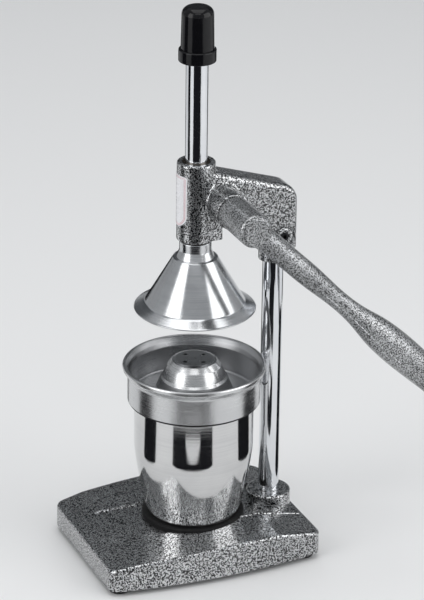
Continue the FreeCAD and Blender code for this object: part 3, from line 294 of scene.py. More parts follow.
class Finish:
    """A material and a few short ways to add nodes to it."""

    def __init__(self, name, **sockets):
        self.material = bpy.data.materials.new(name)
        self.material.use_nodes = True
        self.tree = self.material.node_tree
        self.shader = self.tree.nodes["Principled BSDF"]
        for socket, value in sockets.items():
            self.shader.inputs[socket.replace("_", " ")].default_value = value
        self.place = self.tree.nodes.new("ShaderNodeTexCoord").outputs["Object"]

    def node(self, kind, inputs=None, **settings):
        """A new node, with its settings and its inputs given by name."""
        made = self.tree.nodes.new("ShaderNode" + kind)
        for name, value in settings.items():
            setattr(made, name, value)
        for name, value in (inputs or {}).items():
            self.join(made.inputs[name], value)
        return made

    def join(self, socket, value):
        """Link a socket to another one, or set it to a plain value."""
        if isinstance(value, bpy.types.NodeSocket):
            self.tree.links.new(value, socket)
        else:
            socket.default_value = value

    def grain(self, scale, detail=2.0, stretch=(1, 1, 1), distortion=0.0, roughness=0.5):
        """Noise whose size is given per metre; stretch below 1 draws it out along that axis."""
        mapped = self.node("Mapping", {"Vector": self.place, "Scale": stretch})
        noise = self.node("TexNoise", {"Vector": mapped.outputs[0], "Scale": scale, "Detail": detail,
                                       "Distortion": distortion, "Roughness": roughness})
        return noise.outputs["Fac"]

    def span(self, value, low, high, to_low=0.0, to_high=1.0):
        """Stretch the part of a value between low and high over a new range, with soft ends."""
        made = self.node("MapRange", {"Value": value, "From Min": low, "From Max": high,
                                      "To Min": to_low, "To Max": to_high})
        made.interpolation_type = "SMOOTHSTEP"
        return made.outputs["Result"]

    def blend(self, share, first, second):
        """Mix two colours; at a share of 1 only the second is left."""
        made = self.node("Mix", data_type="RGBA")
        self.join(made.inputs["Factor"], share)
        for place, colour in ((FIRST_COLOUR, first), (SECOND_COLOUR, second)):
            self.join(made.inputs[place], (*colour, 1) if isinstance(colour, tuple) else colour)
        return made.outputs[MIXED_COLOUR]

    def times(self, first, second, operation="MULTIPLY"):
        """Two values multiplied, or joined by another operation."""
        made = self.node("Math", operation=operation)
        self.join(made.inputs[0], first)
        self.join(made.inputs[1], second)
        return made.outputs[0]

    def bump(self, height, strength, distance, under=None):
        """Raise the surface by a height, on top of another normal where one is given."""
        made = self.node("Bump", {"Height": height, "Strength": strength, "Distance": distance})
        if under is not None:
            self.join(made.inputs["Normal"], under)
        return made.outputs["Normal"]

    def wear(self, **sockets):
        """Join the recipe to the shader, and hand over the finished material."""
        for socket, value in sockets.items():
            self.join(self.shader.inputs[socket.replace("_", " ")], value)
        return self.material


print("finish helpers ready")

# %% [markdown]
# ### Hammertone paint
#
# The castings are sprayed with a hammer-effect paint. While it dries its skin pulls into
# little worms about two millimetres wide: bright with silver flake on top, and black in the
# furrows between them. Noise with no finer detail, cut at its middle value, gives just such
# a maze, and the same noise drives the bump, so each worm stands proud of its furrow. Worms
# are widest on the base, finer on the head, and finest on the lever, which hands have dulled.

# %% Hammertone paint
SILVER_DIM, SILVER_BRIGHT = 0.60, 0.74
FLAKE_GREY = (0.34, 0.345, 0.35)
FURROW_BLACK = 0.004
FURROW_LEVEL, WORM_LEVEL = 0.475, 0.53
EDGE_ROUNDING = 0.0008


def cool_grey(level):
    """A grey that leans to blue by a hair."""
    return (level, level + 0.01, level + 0.02)


def hammertone_paint(name, worms_per_metre, silver_share=0.0, worn=0.0):
    """Silver islands in a black net; silver_share widens the islands, and worn dulls the shine."""
    paint = Finish(name, Coat_Weight=0.7 - worn, Coat_Roughness=0.06 + worn / 4, Specular_IOR_Level=0.2)
    worms = paint.grain(worms_per_metre, detail=0.6, distortion=0.7, roughness=0.4)
    islands = paint.span(worms, FURROW_LEVEL - silver_share, WORM_LEVEL - silver_share)
    flake = paint.grain(3600, detail=1.0)
    cloud = paint.grain(18, detail=2.0)
    dim, bright = (cool_grey(level - worn * 0.4) for level in (SILVER_DIM, SILVER_BRIGHT))
    silver = paint.blend(paint.span(cloud, 0.3, 0.7), dim, bright)
    silver = paint.blend(paint.span(flake, 0.4, 0.75, 0.0, 0.25), silver, FLAKE_GREY)
    black = FURROW_BLACK + worn / 12
    edges = paint.node("Bevel", {"Radius": EDGE_ROUNDING}, samples=6).outputs["Normal"]
    skin = paint.bump(paint.span(worms, 0.36, 0.66), 0.3, 0.00012, edges)
    skin = paint.bump(cloud, 0.2, 0.002, skin)
    return paint.wear(
        Base_Color=paint.blend(islands, (black, black, black + 0.0005), silver),
        Metallic=paint.span(islands, 0.0, 1.0, 0.0, 0.9),
        Roughness=paint.span(islands, 0.0, 1.0, 0.10, 0.24 + worn / 2),
        Normal=skin)


HAMMERTONE = hammertone_paint("hammertone_paint", 780)
# The head's silver islands are a little narrower, which makes it a little darker: painted shade for the dim
# reflections along its sleeve.
HAMMERTONE_HEAD = hammertone_paint("hammertone_head", 860, silver_share=-0.010)
HAMMERTONE_LEVER = hammertone_paint("hammertone_lever", 980, silver_share=0.016, worn=0.35)
print("made", HAMMERTONE.name, HAMMERTONE_HEAD.name, HAMMERTONE_LEVER.name)

# %% [markdown]
# ### Plated and polished metals
#
# Chrome on the ram and the column is almost a mirror, with faint polishing lines along the
# rod. The cone, the bowl and the cup are spun and polished on a lathe, so their fine lines
# run round them. Stretched noise gives straight lines, which suit a rod. Given nothing but a
# point's height and its distance from the axis, it makes rings instead. The cone's neck and
# flange are a little duller than its flank, and the bowl's inside is left satin, in a darker
# grey that is partly painted shade. A near-black metal paints the shade in narrow steps and
# drilled holes.

# %% Plated and polished metals


def lathe_lines(metal, pitch_per_metre):
    """Fine rings round a turned piece: they change with height and distance from the axis only."""
    parts = metal.node("SeparateXYZ", {"Vector": metal.place})
    flat = metal.node("CombineXYZ", {"X": parts.outputs["X"], "Y": parts.outputs["Y"]})
    radius = metal.node("VectorMath", {0: flat.outputs[0]}, operation="LENGTH").outputs["Value"]
    ring = metal.node("CombineXYZ", {"X": radius, "Z": parts.outputs["Z"]})
    noise = metal.node("TexNoise", {"Vector": ring.outputs[0], "Scale": pitch_per_metre, "Detail": 3.0,
                                    "Roughness": 0.65})
    return noise.outputs["Fac"]


def rod_chrome():
    """Plating on a rod: a mirror with faint smudges, and polishing lines drawn out along Z."""
    chrome = Finish("rod_chrome", Metallic=1.0)
    lines = chrome.grain(900, detail=2.0, stretch=(1, 1, 0.03))
    smudge = chrome.grain(24, detail=4.0)
    tint = chrome.blend(chrome.span(smudge, 0.3, 0.7), (0.74, 0.76, 0.79), (0.83, 0.84, 0.86))
    return chrome.wear(
        Base_Color=tint,
        Roughness=chrome.span(smudge, 0.35, 0.75, 0.035, 0.10),
        Normal=chrome.bump(lines, 0.06, 0.0004))


def turned_metal(name, dark, light, low, high, depth, pitch=1600):
    """Turned metal between two greys, with a roughness from low to high and rings of some depth."""
    metal = Finish(name, Metallic=1.0)
    lines = lathe_lines(metal, pitch)
    smudge = metal.grain(30, detail=4.0)
    line_share = metal.span(lines, 0.25, 0.75, 0.0, 0.6)
    share = metal.times(line_share, metal.span(smudge, 0.3, 0.7, 0.0, 0.4), "ADD")
    line_roughness = metal.span(lines, 0.3, 0.7, low, high)
    rough = metal.times(line_roughness, metal.span(smudge, 0.3, 0.75, 0.85, 1.3))
    return metal.wear(
        Base_Color=metal.blend(share, dark, light),
        Roughness=rough,
        Normal=metal.bump(lines, depth, 0.0003))


print("ready to plate and polish")

# %% Mix the metals
FINE_PITCH = 2400
CHROME = rod_chrome()
CONE_POLISH = turned_metal("cone_polish", (0.55, 0.56, 0.575), (0.72, 0.73, 0.745), 0.11, 0.20, 0.12)
CONE_SATIN = turned_metal("cone_satin", (0.56, 0.57, 0.585), (0.74, 0.75, 0.765), 0.15, 0.23, 0.12)
BOWL_POLISH = turned_metal("bowl_polish", (0.58, 0.585, 0.595), (0.74, 0.745, 0.75), 0.20, 0.27, 0.07)
# The bowl's satin grey is darker than its polish: partly a satin finish, partly painted shade for the
# insides of the bowl and the cup.
BOWL_SATIN_AND_SHADE = turned_metal("bowl_satin_and_shade", (0.43, 0.435, 0.445), (0.56, 0.565, 0.575), 0.25, 0.36, 0.20,
                          FINE_PITCH)
# Painted shade: a near-black metal for the fine step under the bowl's wall and for the walls of the drilled
# holes.
PAINTED_SHADE = turned_metal("painted_shade_step", (0.015, 0.015, 0.016), (0.05, 0.05, 0.052), 0.45, 0.6, 0.2,
                        FINE_PITCH)
CUP_MIRROR = turned_metal("cup_mirror", (0.60, 0.60, 0.605), (0.76, 0.76, 0.755), 0.05, 0.11, 0.06, 1200)
print("materials so far:", len(bpy.data.materials))

# %% [markdown]
# ### Plastic, rubber, bronze, steel and the label
#
# The knob on the ram is glossy black moulded plastic with a soft ripple. The feet and the
# cup's pad are matt rubber with a little dust. The bushes are sintered bronze, mottled and
# kept very dark. Screws, washers and the pinion are machined steel or black-oxide steel.
# The label is a white film, left bare. A black that is quite flat looks like a hole in the
# picture, so even these have dust, ripple or grit.

# %% Plastic and rubber


def moulded_plastic():
    plastic = Finish("black_moulding", IOR=1.36)
    ripple = plastic.grain(140, detail=1.0)
    dust = plastic.grain(2600, detail=2.0)
    return plastic.wear(
        Base_Color=plastic.blend(plastic.span(dust, 0.62, 0.8), (0.004, 0.004, 0.005),
                                 (0.016, 0.016, 0.018)),
        Roughness=plastic.span(plastic.grain(60, detail=3.0), 0.3, 0.7, 0.07, 0.16),
        Normal=plastic.bump(ripple, 0.05, 0.0012))


def dusty_rubber():
    rubber = Finish("dusty_rubber", IOR=1.35)
    grit = rubber.grain(1400, detail=3.0)
    dust = rubber.grain(90, detail=4.0)
    return rubber.wear(
        Base_Color=rubber.blend(rubber.span(dust, 0.5, 0.8), (0.004, 0.004, 0.0045), (0.015, 0.015, 0.0145)),
        Roughness=rubber.span(grit, 0.3, 0.7, 0.52, 0.78),
        Normal=rubber.bump(grit, 0.35, 0.0004))


BLACK_PLASTIC = moulded_plastic()
RUBBER = dusty_rubber()
print("made", BLACK_PLASTIC.name, RUBBER.name)

# %% Bronze, steel and the label's film


# The bronze is mixed between two very dark browns, with a mottle.
def dark_mottled_bronze():
    bronze = Finish("dark_mottled_bronze", Metallic=1.0)
    mottle = bronze.grain(700, detail=4.0)
    return bronze.wear(
        Base_Color=bronze.blend(bronze.span(mottle, 0.3, 0.7), (0.03, 0.024, 0.018), (0.11, 0.085, 0.06)),
        Roughness=bronze.span(mottle, 0.3, 0.7, 0.24, 0.42),
        Normal=bronze.bump(mottle, 0.2, 0.0003))


def machined_steel(name, dark, light, low, high):
    steel = Finish(name, Metallic=1.0)
    marks = steel.grain(1300, detail=2.0, stretch=(0.12, 1, 1))
    stain = steel.grain(120, detail=4.0)
    return steel.wear(
        Base_Color=steel.blend(steel.span(stain, 0.3, 0.75), dark, light),
        Roughness=steel.span(marks, 0.3, 0.7, low, high),
        Normal=steel.bump(marks, 0.18, 0.0003))


def label_film(name, colour, shade):
    film = Finish(name, IOR=1.48)
    weave = film.grain(900, detail=2.0)
    age = film.grain(60, detail=3.0)
    return film.wear(
        Base_Color=film.blend(film.span(age, 0.4, 0.8), colour, shade),
        Roughness=film.span(weave, 0.3, 0.7, 0.22, 0.34),
        Normal=film.bump(weave, 0.06, 0.0002))


BRONZE = dark_mottled_bronze()
STEEL = machined_steel("machined_steel", (0.36, 0.365, 0.37), (0.56, 0.565, 0.57), 0.2, 0.36)
BLACK_STEEL = machined_steel("black_oxide_steel", (0.018, 0.018, 0.02), (0.06, 0.06, 0.065), 0.28, 0.45)
LABEL_WHITE = label_film("label_white", (0.80, 0.80, 0.82), (0.70, 0.70, 0.71))
LABEL_LINE = label_film("label_line", (0.62, 0.28, 0.32), (0.50, 0.24, 0.27))
print("materials so far:", len(bpy.data.materials))

# %% [markdown]
# ### Finishes on the frame's own pieces
#
# Most pieces stay as the frame has them: the base, the rods, the bushes, the pinion and the
# screws. Each has a slot that says what it is made of, so one table from slot to finish
# dresses them all. Only what is in the slot changes, never the piece.

# %% Give the frame's own pieces their finishes
FINISH_OF = {
    "hammertone": HAMMERTONE, "chrome": CHROME, "polished_aluminium": CONE_POLISH,
    "spun_aluminium": BOWL_POLISH, "stainless": CUP_MIRROR, "black_plastic": BLACK_PLASTIC,
    "rubber": RUBBER, "steel": STEEL, "black_steel": BLACK_STEEL, "bronze": BRONZE,
    "label_film": LABEL_WHITE,
}
for entry in frame["record"]["subparts"]:
    for slot in frame["nodes"][entry["node"]].material_slots:
        slot.material = FINISH_OF[entry["material_slot"]]

# %% [markdown]
# ## Turned pieces
#
# The cone, the bowl and the cup are spun or turned on a lathe, so each one is a single line
# swept round the ram's axis. One node tree does all of it: Curve to Mesh sweeps the line
# round a circle, Merge by Distance closes the middle, Mesh Boolean drills the holes, and Set
# Material gives the polished, the satin and the dark bands their finishes. The dark band is
# painted shade, near-black, for narrow steps and the walls of drilled holes. Each point of
# the line carries a number that says which band it belongs to.

# %% A line with rounded corners
POLISHED, SATIN, DARK = 0.0, 1.0, 2.0
MOST_OF_A_SIDE = 0.49


def rounded_line(corners, steps=6):
    """Points (radius, height, band) in metres, from corners (radius, height, round, band) in mm."""
    line = []
    for k, (r, z, bend, band) in enumerate(corners):
        here = Vector((r, z))
        if bend <= 0 or k in (0, len(corners) - 1):
            line.append((r * MM, z * MM, band))
            continue
        back = Vector(corners[k - 1][:2]) - here
        ahead = Vector(corners[k + 1][:2]) - here
        half = back.angle(ahead) / 2
        cut = min(bend / math.tan(half), MOST_OF_A_SIDE * back.length, MOST_OF_A_SIDE * ahead.length)
        first, last = here + back.normalized() * cut, here + ahead.normalized() * cut
        for t in np.linspace(0, 1, steps):
            p = first.lerp(here, t).lerp(here.lerp(last, t), t)
            line.append((p.x * MM, p.y * MM, band))
    return line


def close_steps(line, longest=0.0035):
    """The same line with its long runs divided, so that shading stays even along them."""
    full = [line[0]]
    for after in line[1:]:
        before = full[-1]
        count = max(1, math.ceil(math.hypot(after[0] - before[0], after[1] - before[1]) / longest))
        full += [tuple(before[i] + (after[i] - before[i]) * k / count for i in (0, 1)) + after[2:]
                 for k in range(1, count + 1)]
    return full


CORNER = [(0, 0, 0, POLISHED), (9, 0, 2, POLISHED), (9, 9, 0, POLISHED)]
print("a line with one round corner has", len(rounded_line(CORNER)), "points")

# %% Helpers for node trees


def new_tree(name, sockets):
    """An empty geometry tree, what it is given and what it hands back; sockets lists (name, kind)."""
    tree = bpy.data.node_groups.new(name, "GeometryNodeTree")
    tree.interface.new_socket("Geometry", in_out="INPUT", socket_type="NodeSocketGeometry")
    for title, kind in sockets:
        tree.interface.new_socket(title, in_out="INPUT", socket_type="NodeSocket" + kind)
    tree.interface.new_socket("Geometry", in_out="OUTPUT", socket_type="NodeSocketGeometry")
    return tree, tree.nodes.new("NodeGroupInput").outputs, tree.nodes.new("NodeGroupOutput").inputs


def put(tree, kind, inputs=None, **settings):
    """A geometry node; each input is a plain value, a socket, or a node whose first output it takes."""
    made = tree.nodes.new("GeometryNode" + kind if not kind.startswith("Function") else kind)
    for name, value in settings.items():
        setattr(made, name, value)
    for name, value in (inputs or {}).items():
        if isinstance(value, bpy.types.Node):
            value = value.outputs[0]
        if isinstance(value, bpy.types.NodeSocket):
            tree.links.new(value, made.inputs[name])
        else:
            made.inputs[name].default_value = value
    return made


print("ready to build trees")

# %% The turning tree
WELD_GAP = 2e-6


def turning_tree():
    tree, given, result = new_tree("turned_on_a_lathe", [
        ("Segments", "Int"), ("Turning Radius", "Float"), ("Drills", "Object"),
        ("Polished", "Material"), ("Satin", "Material"), ("Dark", "Material")])
    line = put(tree, "MeshToCurve", {"Mesh": given["Geometry"]})
    path = put(tree, "CurvePrimitiveCircle", {"Resolution": given["Segments"],
                                              "Radius": given["Turning Radius"]})
    swept = put(tree, "CurveToMesh", {"Curve": path, "Profile Curve": line})
    closed = put(tree, "MergeByDistance", {"Geometry": swept, "Distance": WELD_GAP})
    drills = put(tree, "ObjectInfo", {"Object": given["Drills"]}).outputs["Geometry"]
    drilled = put(tree, "MeshBoolean", {"Mesh 1": closed, "Mesh 2": drills},
                  operation="DIFFERENCE", solver="EXACT")
    band = put(tree, "InputNamedAttribute", {"Name": "band"}, data_type="FLOAT")
    smooth = put(tree, "SetShadeSmooth", {"Geometry": drilled})
    whole = put(tree, "RealizeInstances", {"Geometry": smooth})
    finished = put(tree, "SetMaterial", {"Geometry": whole, "Material": given["Polished"]})
    for finish, least in (("Satin", (POLISHED + SATIN) / 2), ("Dark", (SATIN + DARK) / 2)):
        chosen = put(tree, "FunctionNodeCompare", {0: band, 1: least}, operation="GREATER_THAN")
        finished = put(tree, "SetMaterial", {"Geometry": finished, "Selection": chosen,
                                             "Material": given[finish]})
    tree.links.new(finished.outputs[0], result["Geometry"])
    return tree


TURNING = turning_tree()
print("turning tree has", len(TURNING.nodes), "nodes")

# %% Run a tree once, and tidy what it makes
SEAM_GAP = 1e-6


def bake_tree(name, source, tree, values):
    """Run a geometry tree on an object once and keep what it makes as a plain mesh object."""
    run = source.modifiers.new("recipe", "NODES")
    run.node_group = tree
    for item in tree.interface.items_tree:
        if item.in_out == "INPUT" and item.name in values:
            run[item.identifier] = values[item.name]
    ready = source.evaluated_get(bpy.context.evaluated_depsgraph_get())
    mesh = bpy.data.meshes.new_from_object(ready)
    source.modifiers.remove(run)
    made = bpy.data.objects.new(name, mesh)
    scene.collection.objects.link(made)
    mesh.name = name
    bpy.data.objects.remove(source)
    return made


def tidy_normals(piece, crease=math.radians(42)):
    """Close seams and poles, turn every face outwards, and keep sharp corners sharp."""
    work = bmesh.new()
    work.from_mesh(piece.data)
    bmesh.ops.remove_doubles(work, verts=work.verts, dist=SEAM_GAP)
    bmesh.ops.recalc_face_normals(work, faces=work.faces)
    open_edges = sum(len(e.link_faces) != 2 for e in work.edges)
    for edge in work.edges:
        edge.smooth = len(edge.link_faces) == 2 and edge.calc_face_angle(0) < crease
    work.to_mesh(piece.data)
    work.free()
    print(piece.name, "faces", len(piece.data.polygons), "open edges", open_edges)


print("ready to run trees")

# %% Sweep a line and drill it
DRILL_SIDES = 28
SPARE = 0.01


def drill_ring(rings):
    """Round drills, as (count, circle, turn, drill radius, low, high), for the boolean to cut with."""
    work = bmesh.new()
    for count, circle, turned, radius, low, high in rings:
        for k in range(count):
            a = math.radians(turned + 360 * k / count)
            spot = (circle * MM * math.cos(a), circle * MM * math.sin(a), (low + high) / 2 * MM)
            bmesh.ops.create_cone(work, cap_ends=True, segments=DRILL_SIDES, radius1=radius * MM,
                                  radius2=radius * MM, depth=(high - low) * MM,
                                  matrix=Matrix.Translation(spot))
    mesh = bpy.data.meshes.new("drills")
    work.to_mesh(mesh)
    work.free()
    # Every face of the drills carries the dark band, so the walls of the holes are painted shade.
    mesh.attributes.new("band", "FLOAT", "POINT").data.foreach_set("value", [DARK] * len(mesh.vertices))
    return bpy.data.objects.new("drills", mesh)


def turned_piece(name, line, polished, satin, rings=(), segments=180):
    """Sweep a rounded line round the ram's axis.

    Curve to Mesh moves the line along a circle, so the line is drawn beside that circle, and
    turned over, as the sweep lays it down the other way up.
    """
    turning_radius = max(p[0] for p in line) + SPARE
    mesh = bpy.data.meshes.new("line")
    mesh.from_pydata([(r - turning_radius, -z, 0) for r, z, band in line],
                     [(k, k + 1) for k in range(len(line) - 1)], [])
    bands = [band for r, z, band in line]
    mesh.attributes.new("band", "FLOAT", "POINT").data.foreach_set("value", bands)
    source = bpy.data.objects.new("line", mesh)
    scene.collection.objects.link(source)
    drills = drill_ring(rings)
    scene.collection.objects.link(drills)
    piece = bake_tree(name, source, TURNING, {"Segments": segments, "Turning Radius": turning_radius,
                                              "Drills": drills, "Polished": polished, "Satin": satin,
                                              "Dark": PAINTED_SHADE})
    bpy.data.objects.remove(drills)
    tidy_normals(piece)
    return piece


print("ready to turn")

# %% [markdown]
# ### The pressing cone
#
# A cast funnel that is turned bright on its flank, and a little duller on its neck and its
# flange. The neck flares out to a fine ledge where the flank begins. Fruit is squeezed under
# it, so its rim spreads to a rolled lip. The screw that holds it sits in a countersink
# inside. Each corner of the line is (radius, height, rounding, band), in millimetres.

# %% Turn the pressing cone
CONE_LINE = [
    (10.0, 284.1, 0, SATIN), (10.0, 302.3, 0.4, SATIN), (14.5, 302.3, 0.8, SATIN),
    (14.5, 293.6, 5.0, SATIN), (17.3, 286.9, 0.3, SATIN), (18.7, 287.4, 0.6, SATIN),
    (20.1, 286.6, 0.8, POLISHED), (45.0, 243.7, 6.0, POLISHED), (46.4, 242.9, 0.5, SATIN),
    (54.0, 239.0, 1.2, SATIN), (55.0, 238.2, 0.5, POLISHED), (54.2, 237.2, 0.5, POLISHED),
    (52.8, 237.6, 1.0, SATIN), (43.7, 241.1, 5.0, SATIN), (19.9, 275.1, 1.0, SATIN),
    (17.9, 277.1, 1.0, SATIN), (7.65, 277.1, 0.2, SATIN), (4.0, 280.75, 0, SATIN),
    (4.0, 284.1, 0, SATIN), (10.0, 284.1, 0, SATIN)]
cone = turned_piece("cone_turned", close_steps(rounded_line(CONE_LINE)), CONE_POLISH, CONE_SATIN)
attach(cone, "ram")
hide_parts("press_cone")

# %% [markdown]
# ### The strainer bowl
#
# One spun bowl with a raised dome in the middle that the fruit half sits on. The rim is
# rolled outwards, a step under it carries the wall, and a short skirt drops into the cup.
# Juice runs through four holes in the dome's top and five in the floor round it. The inside
# is left satin, in a grey that is partly painted shade, and the dome's flank and the outside
# are polished. A fine step is turned under the wall and painted near-black as painted shade,
# which shows as a dark line above the cup. The holes' walls are painted shade in the same way.

# %% Turn the strainer bowl
BOWL_TURN = -23.0
BOWL_LINE = [
    (0.0, 186.6, 0, SATIN), (17.2, 186.6, 0.8, SATIN), (20.2, 185.8, 1.5, POLISHED),
    (24.4, 180.6, 5.0, POLISHED), (28.8, 170.8, 2.0, POLISHED), (30.6, 168.6, 2.0, SATIN),
    (38.0, 150.0, 1.2, SATIN), (58.3, 150.0, 3.0, SATIN), (58.3, 173.4, 3.0, SATIN),
    (59.6, 177.6, 4.0, SATIN), (61.4, 180.8, 1.0, SATIN), (62.3, 182.0, 0.9, SATIN),
    (64.1, 182.0, 1.1, SATIN), (65.0, 180.6, 1.0, POLISHED), (64.4, 177.6, 3.0, POLISHED),
    (61.2, 173.4, 2.0, POLISHED), (60.3, 171.2, 1.0, POLISHED), (60.3, 148.2, 0, POLISHED),
    # These DARK points paint shade on the fine step under the wall.
    (60.3, 148.1, 0, DARK), (60.3, 147.6, 0.4, DARK), (59.7, 147.1, 0.2, DARK),
    (59.5, 146.3, 0.3, DARK), (58.9, 145.9, 0.3, DARK), (58.3, 145.9, 0.2, SATIN),
    (58.3, 147.3, 0.3, SATIN), (51.7, 147.3, 0.5, SATIN), (51.7, 141.3, 0.6, POLISHED),
    (49.7, 141.3, 0.6, POLISHED), (49.7, 147.3, 0.5, POLISHED), (35.8, 147.3, 0.5, SATIN),
    (28.3, 167.5, 1.5, SATIN), (26.6, 169.2, 1.5, SATIN), (21.0, 180.8, 3.0, SATIN),
    (18.2, 184.4, 3.0, SATIN), (14.9, 184.4, 0, SATIN), (0.0, 184.4, 0, SATIN)]
DOME_HOLES = (4, 11.5, BOWL_TURN + 45, 2.0, 180, 190)
FLOOR_HOLES = (5, 43.5, BOWL_TURN, 2.5, 140, 155)
bowl = turned_piece("bowl_spun", close_steps(rounded_line(BOWL_LINE)), BOWL_POLISH, BOWL_SATIN_AND_SHADE,
                    rings=[DOME_HOLES, FLOOR_HOLES])
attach(bowl, "bowl")
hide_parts("strainer_bowl")

# %% [markdown]
# ### The juice cup
#
# The cup is drawn from sheet one millimetre thick. It draws in towards a rounded foot along
# a smooth curve, so its lower line is worked out, and the inner line is the outer one moved
# in by the sheet's thickness.

# %% Draw the juice cup
CUP_FOOT, CUP_TOP, CUP_SHEET = 36.2, 147.0, 1.0
CUP_RADIUS, CUP_TAPER, CUP_STRAIGHT_FROM = 54.5, 11.9, 68.0
CUP_DISH, CUP_EDGE, CURVE_STEP = 1.2, 146.6, 3.2


def cup_radius(rise):
    """The cup's radius at a height above its foot."""
    short = max(0.0, (CUP_STRAIGHT_FROM - rise) / CUP_STRAIGHT_FROM)
    return CUP_RADIUS - CUP_TAPER * short ** 1.35


def cup_wall(inwards, rises, band):
    """Points up or down the curved wall, moved inwards by some thickness."""
    return [(cup_radius(h) - inwards, CUP_FOOT + h, 0, band) for h in rises]


foot_radius = cup_radius(3.0)
CUP_LINE = [(0, CUP_FOOT + CUP_DISH, 0, POLISHED), (foot_radius - 12, CUP_FOOT + CUP_DISH, 1.5, POLISHED),
            (foot_radius - 9, CUP_FOOT, 1.0, POLISHED), (foot_radius - 0.3, CUP_FOOT, 2.6, POLISHED)]
CUP_LINE += cup_wall(0, np.arange(3.4, 69, CURVE_STEP), POLISHED)
CUP_LINE += [(CUP_RADIUS, CUP_EDGE, 0, POLISHED), (CUP_RADIUS - 0.25, CUP_TOP, 0, POLISHED),
             (CUP_RADIUS - 0.75, CUP_TOP, 0, SATIN), (CUP_RADIUS - CUP_SHEET, CUP_EDGE, 0, SATIN)]
CUP_LINE += cup_wall(CUP_SHEET, np.arange(68, 4.5, -CURVE_STEP), SATIN)
cup_floor = CUP_FOOT + CUP_DISH + CUP_SHEET
CUP_LINE += [(foot_radius - CUP_SHEET - 0.3, cup_floor, 2.0, SATIN), (0, cup_floor, 0, SATIN)]
# The cup's inside takes the bowl's darker satin grey, which is partly painted shade.
cup = turned_piece("cup_drawn", close_steps(rounded_line(CUP_LINE)), CUP_MIRROR, BOWL_SATIN_AND_SHADE)
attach(cup, "cup")
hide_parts("juice_cup")

# %% [markdown]
# ## Cast skins
#
# A sand casting has no sharp corner: every inside corner is filled and every edge is a
# little rounded, and thick paint softens them more. Bevels on such joined round shapes
# break, so each casting is copied, turned into an even grid of small faces by a voxel
# remesh, and then smoothed. Inside corners are smoothed for longer than edges. Points that
# touch another piece are held still, so that bushes, screws and rods still fit.

# %% Copy a casting and find what touches it


def merged_copy(node):
    """A copy of a frame piece's mesh with its loose triangles joined."""
    mesh = frame["nodes"][node].data.copy()
    work = bmesh.new()
    work.from_mesh(mesh)
    bmesh.ops.remove_doubles(work, verts=work.verts, dist=WELD_GAP)
    work.to_mesh(mesh)
    work.free()
    return mesh


def touching(points, nodes, reach):
    """True for each point that lies within reach of one of the named pieces."""
    near = np.zeros(len(points), bool)
    for node in nodes:
        mesh = frame["nodes"][node].data
        tree = BVHTree.FromPolygons([v.co for v in mesh.vertices], [p.vertices for p in mesh.polygons])
        low, high = (np.array(c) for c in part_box(node))
        close = np.all((points > low - reach) & (points < high + reach), axis=1)
        for k in np.nonzero(close & ~near)[0]:
            near[k] = tree.find_nearest(points[k], reach)[0] is not None
    return near


def voxel_grid(name, node, voxel):
    """An object with an even grid of small faces round a frame piece's shape."""
    made = bpy.data.objects.new(name, merged_copy(node))
    scene.collection.objects.link(made)
    grid = made.modifiers.new("grid", "REMESH")
    grid.mode = "VOXEL"
    grid.voxel_size = voxel
    mesh = bpy.data.meshes.new_from_object(made.evaluated_get(bpy.context.evaluated_depsgraph_get()))
    made.modifiers.remove(grid)
    made.data = mesh
    mesh.name = name
    return made


print("ready to copy castings")

# %% [markdown]
# ### How the smoothing works
#
# Every point moves half way towards the middle of its neighbours. On an edge that middle
# lies inside the metal, and in a corner it lies outside, so the sign of the move tells the
# two apart. The first few rounds move all free points, and the many rounds after them move
# only the hollow ones, which fills the corners like the fillets of a mould.

# %% Smooth a grid
HALF_WAY = 0.5
HOLLOW_FROM, HOLLOW_OVER = 0.02, 0.03
NORMALS_EVERY = 8
CRISP_ROUNDS = 3
HELD_WITHIN = 1.2


def read_grid(mesh):
    """A mesh's points and edges as arrays."""
    points = np.empty(len(mesh.vertices) * 3)
    mesh.vertices.foreach_get("co", points)
    edges = np.empty(len(mesh.edges) * 2, int)
    mesh.edges.foreach_get("vertices", edges)
    return points.reshape(-1, 3), edges.reshape(-1, 2)


def average_shift(points, edges, count):
    """How far each point is from the mean of its neighbours, as a vector."""
    shift = np.zeros_like(points)
    for axis in range(3):
        total = np.bincount(edges[:, 0], points[edges[:, 1], axis], len(points))
        total += np.bincount(edges[:, 1], points[edges[:, 0], axis], len(points))
        shift[:, axis] = total / count - points[:, axis]
    return shift


def soften(mesh, voxel, fill_rounds, edge_rounds, free, kept_crisp):
    """The points of a grid after its edges are rounded and its corners are filled."""
    points, edges = read_grid(mesh)
    count = np.maximum(np.bincount(edges.ravel(), minlength=len(points)), 1)
    for turn_number in range(fill_rounds):
        if turn_number % NORMALS_EVERY == 0:
            mesh.vertices.foreach_set("co", points.ravel())
            mesh.update()
            out = np.array([v.vector for v in mesh.vertex_normals])
        shift = average_shift(points, edges, count)
        rise = np.einsum("ij,ij->i", shift, out)
        hollow = np.clip((rise / voxel - HOLLOW_FROM) / HOLLOW_OVER, 0, 1)
        share = np.where(free, HALF_WAY * hollow, 0.0)
        if turn_number >= CRISP_ROUNDS:
            share[kept_crisp] = 0
        if turn_number < edge_rounds:
            share = np.where(free, HALF_WAY, 0.0)
        points = points + shift * share[:, None]
    return points


def ring_groove(points, centre, radius, half_width, depth):
    """Sink a fine ring into a face that looks along +X; all sizes in mm."""
    x, y, z = (points[:, k] / MM - centre[k] for k in range(3))
    across_ring = (np.hypot(y, z) - radius) / half_width
    near_face = np.clip((x + 4) / 2, 0, 1)
    points[:, 0] -= depth * np.exp(-across_ring ** 2) * near_face * MM


print("ready to smooth")

# %% Put a skin together


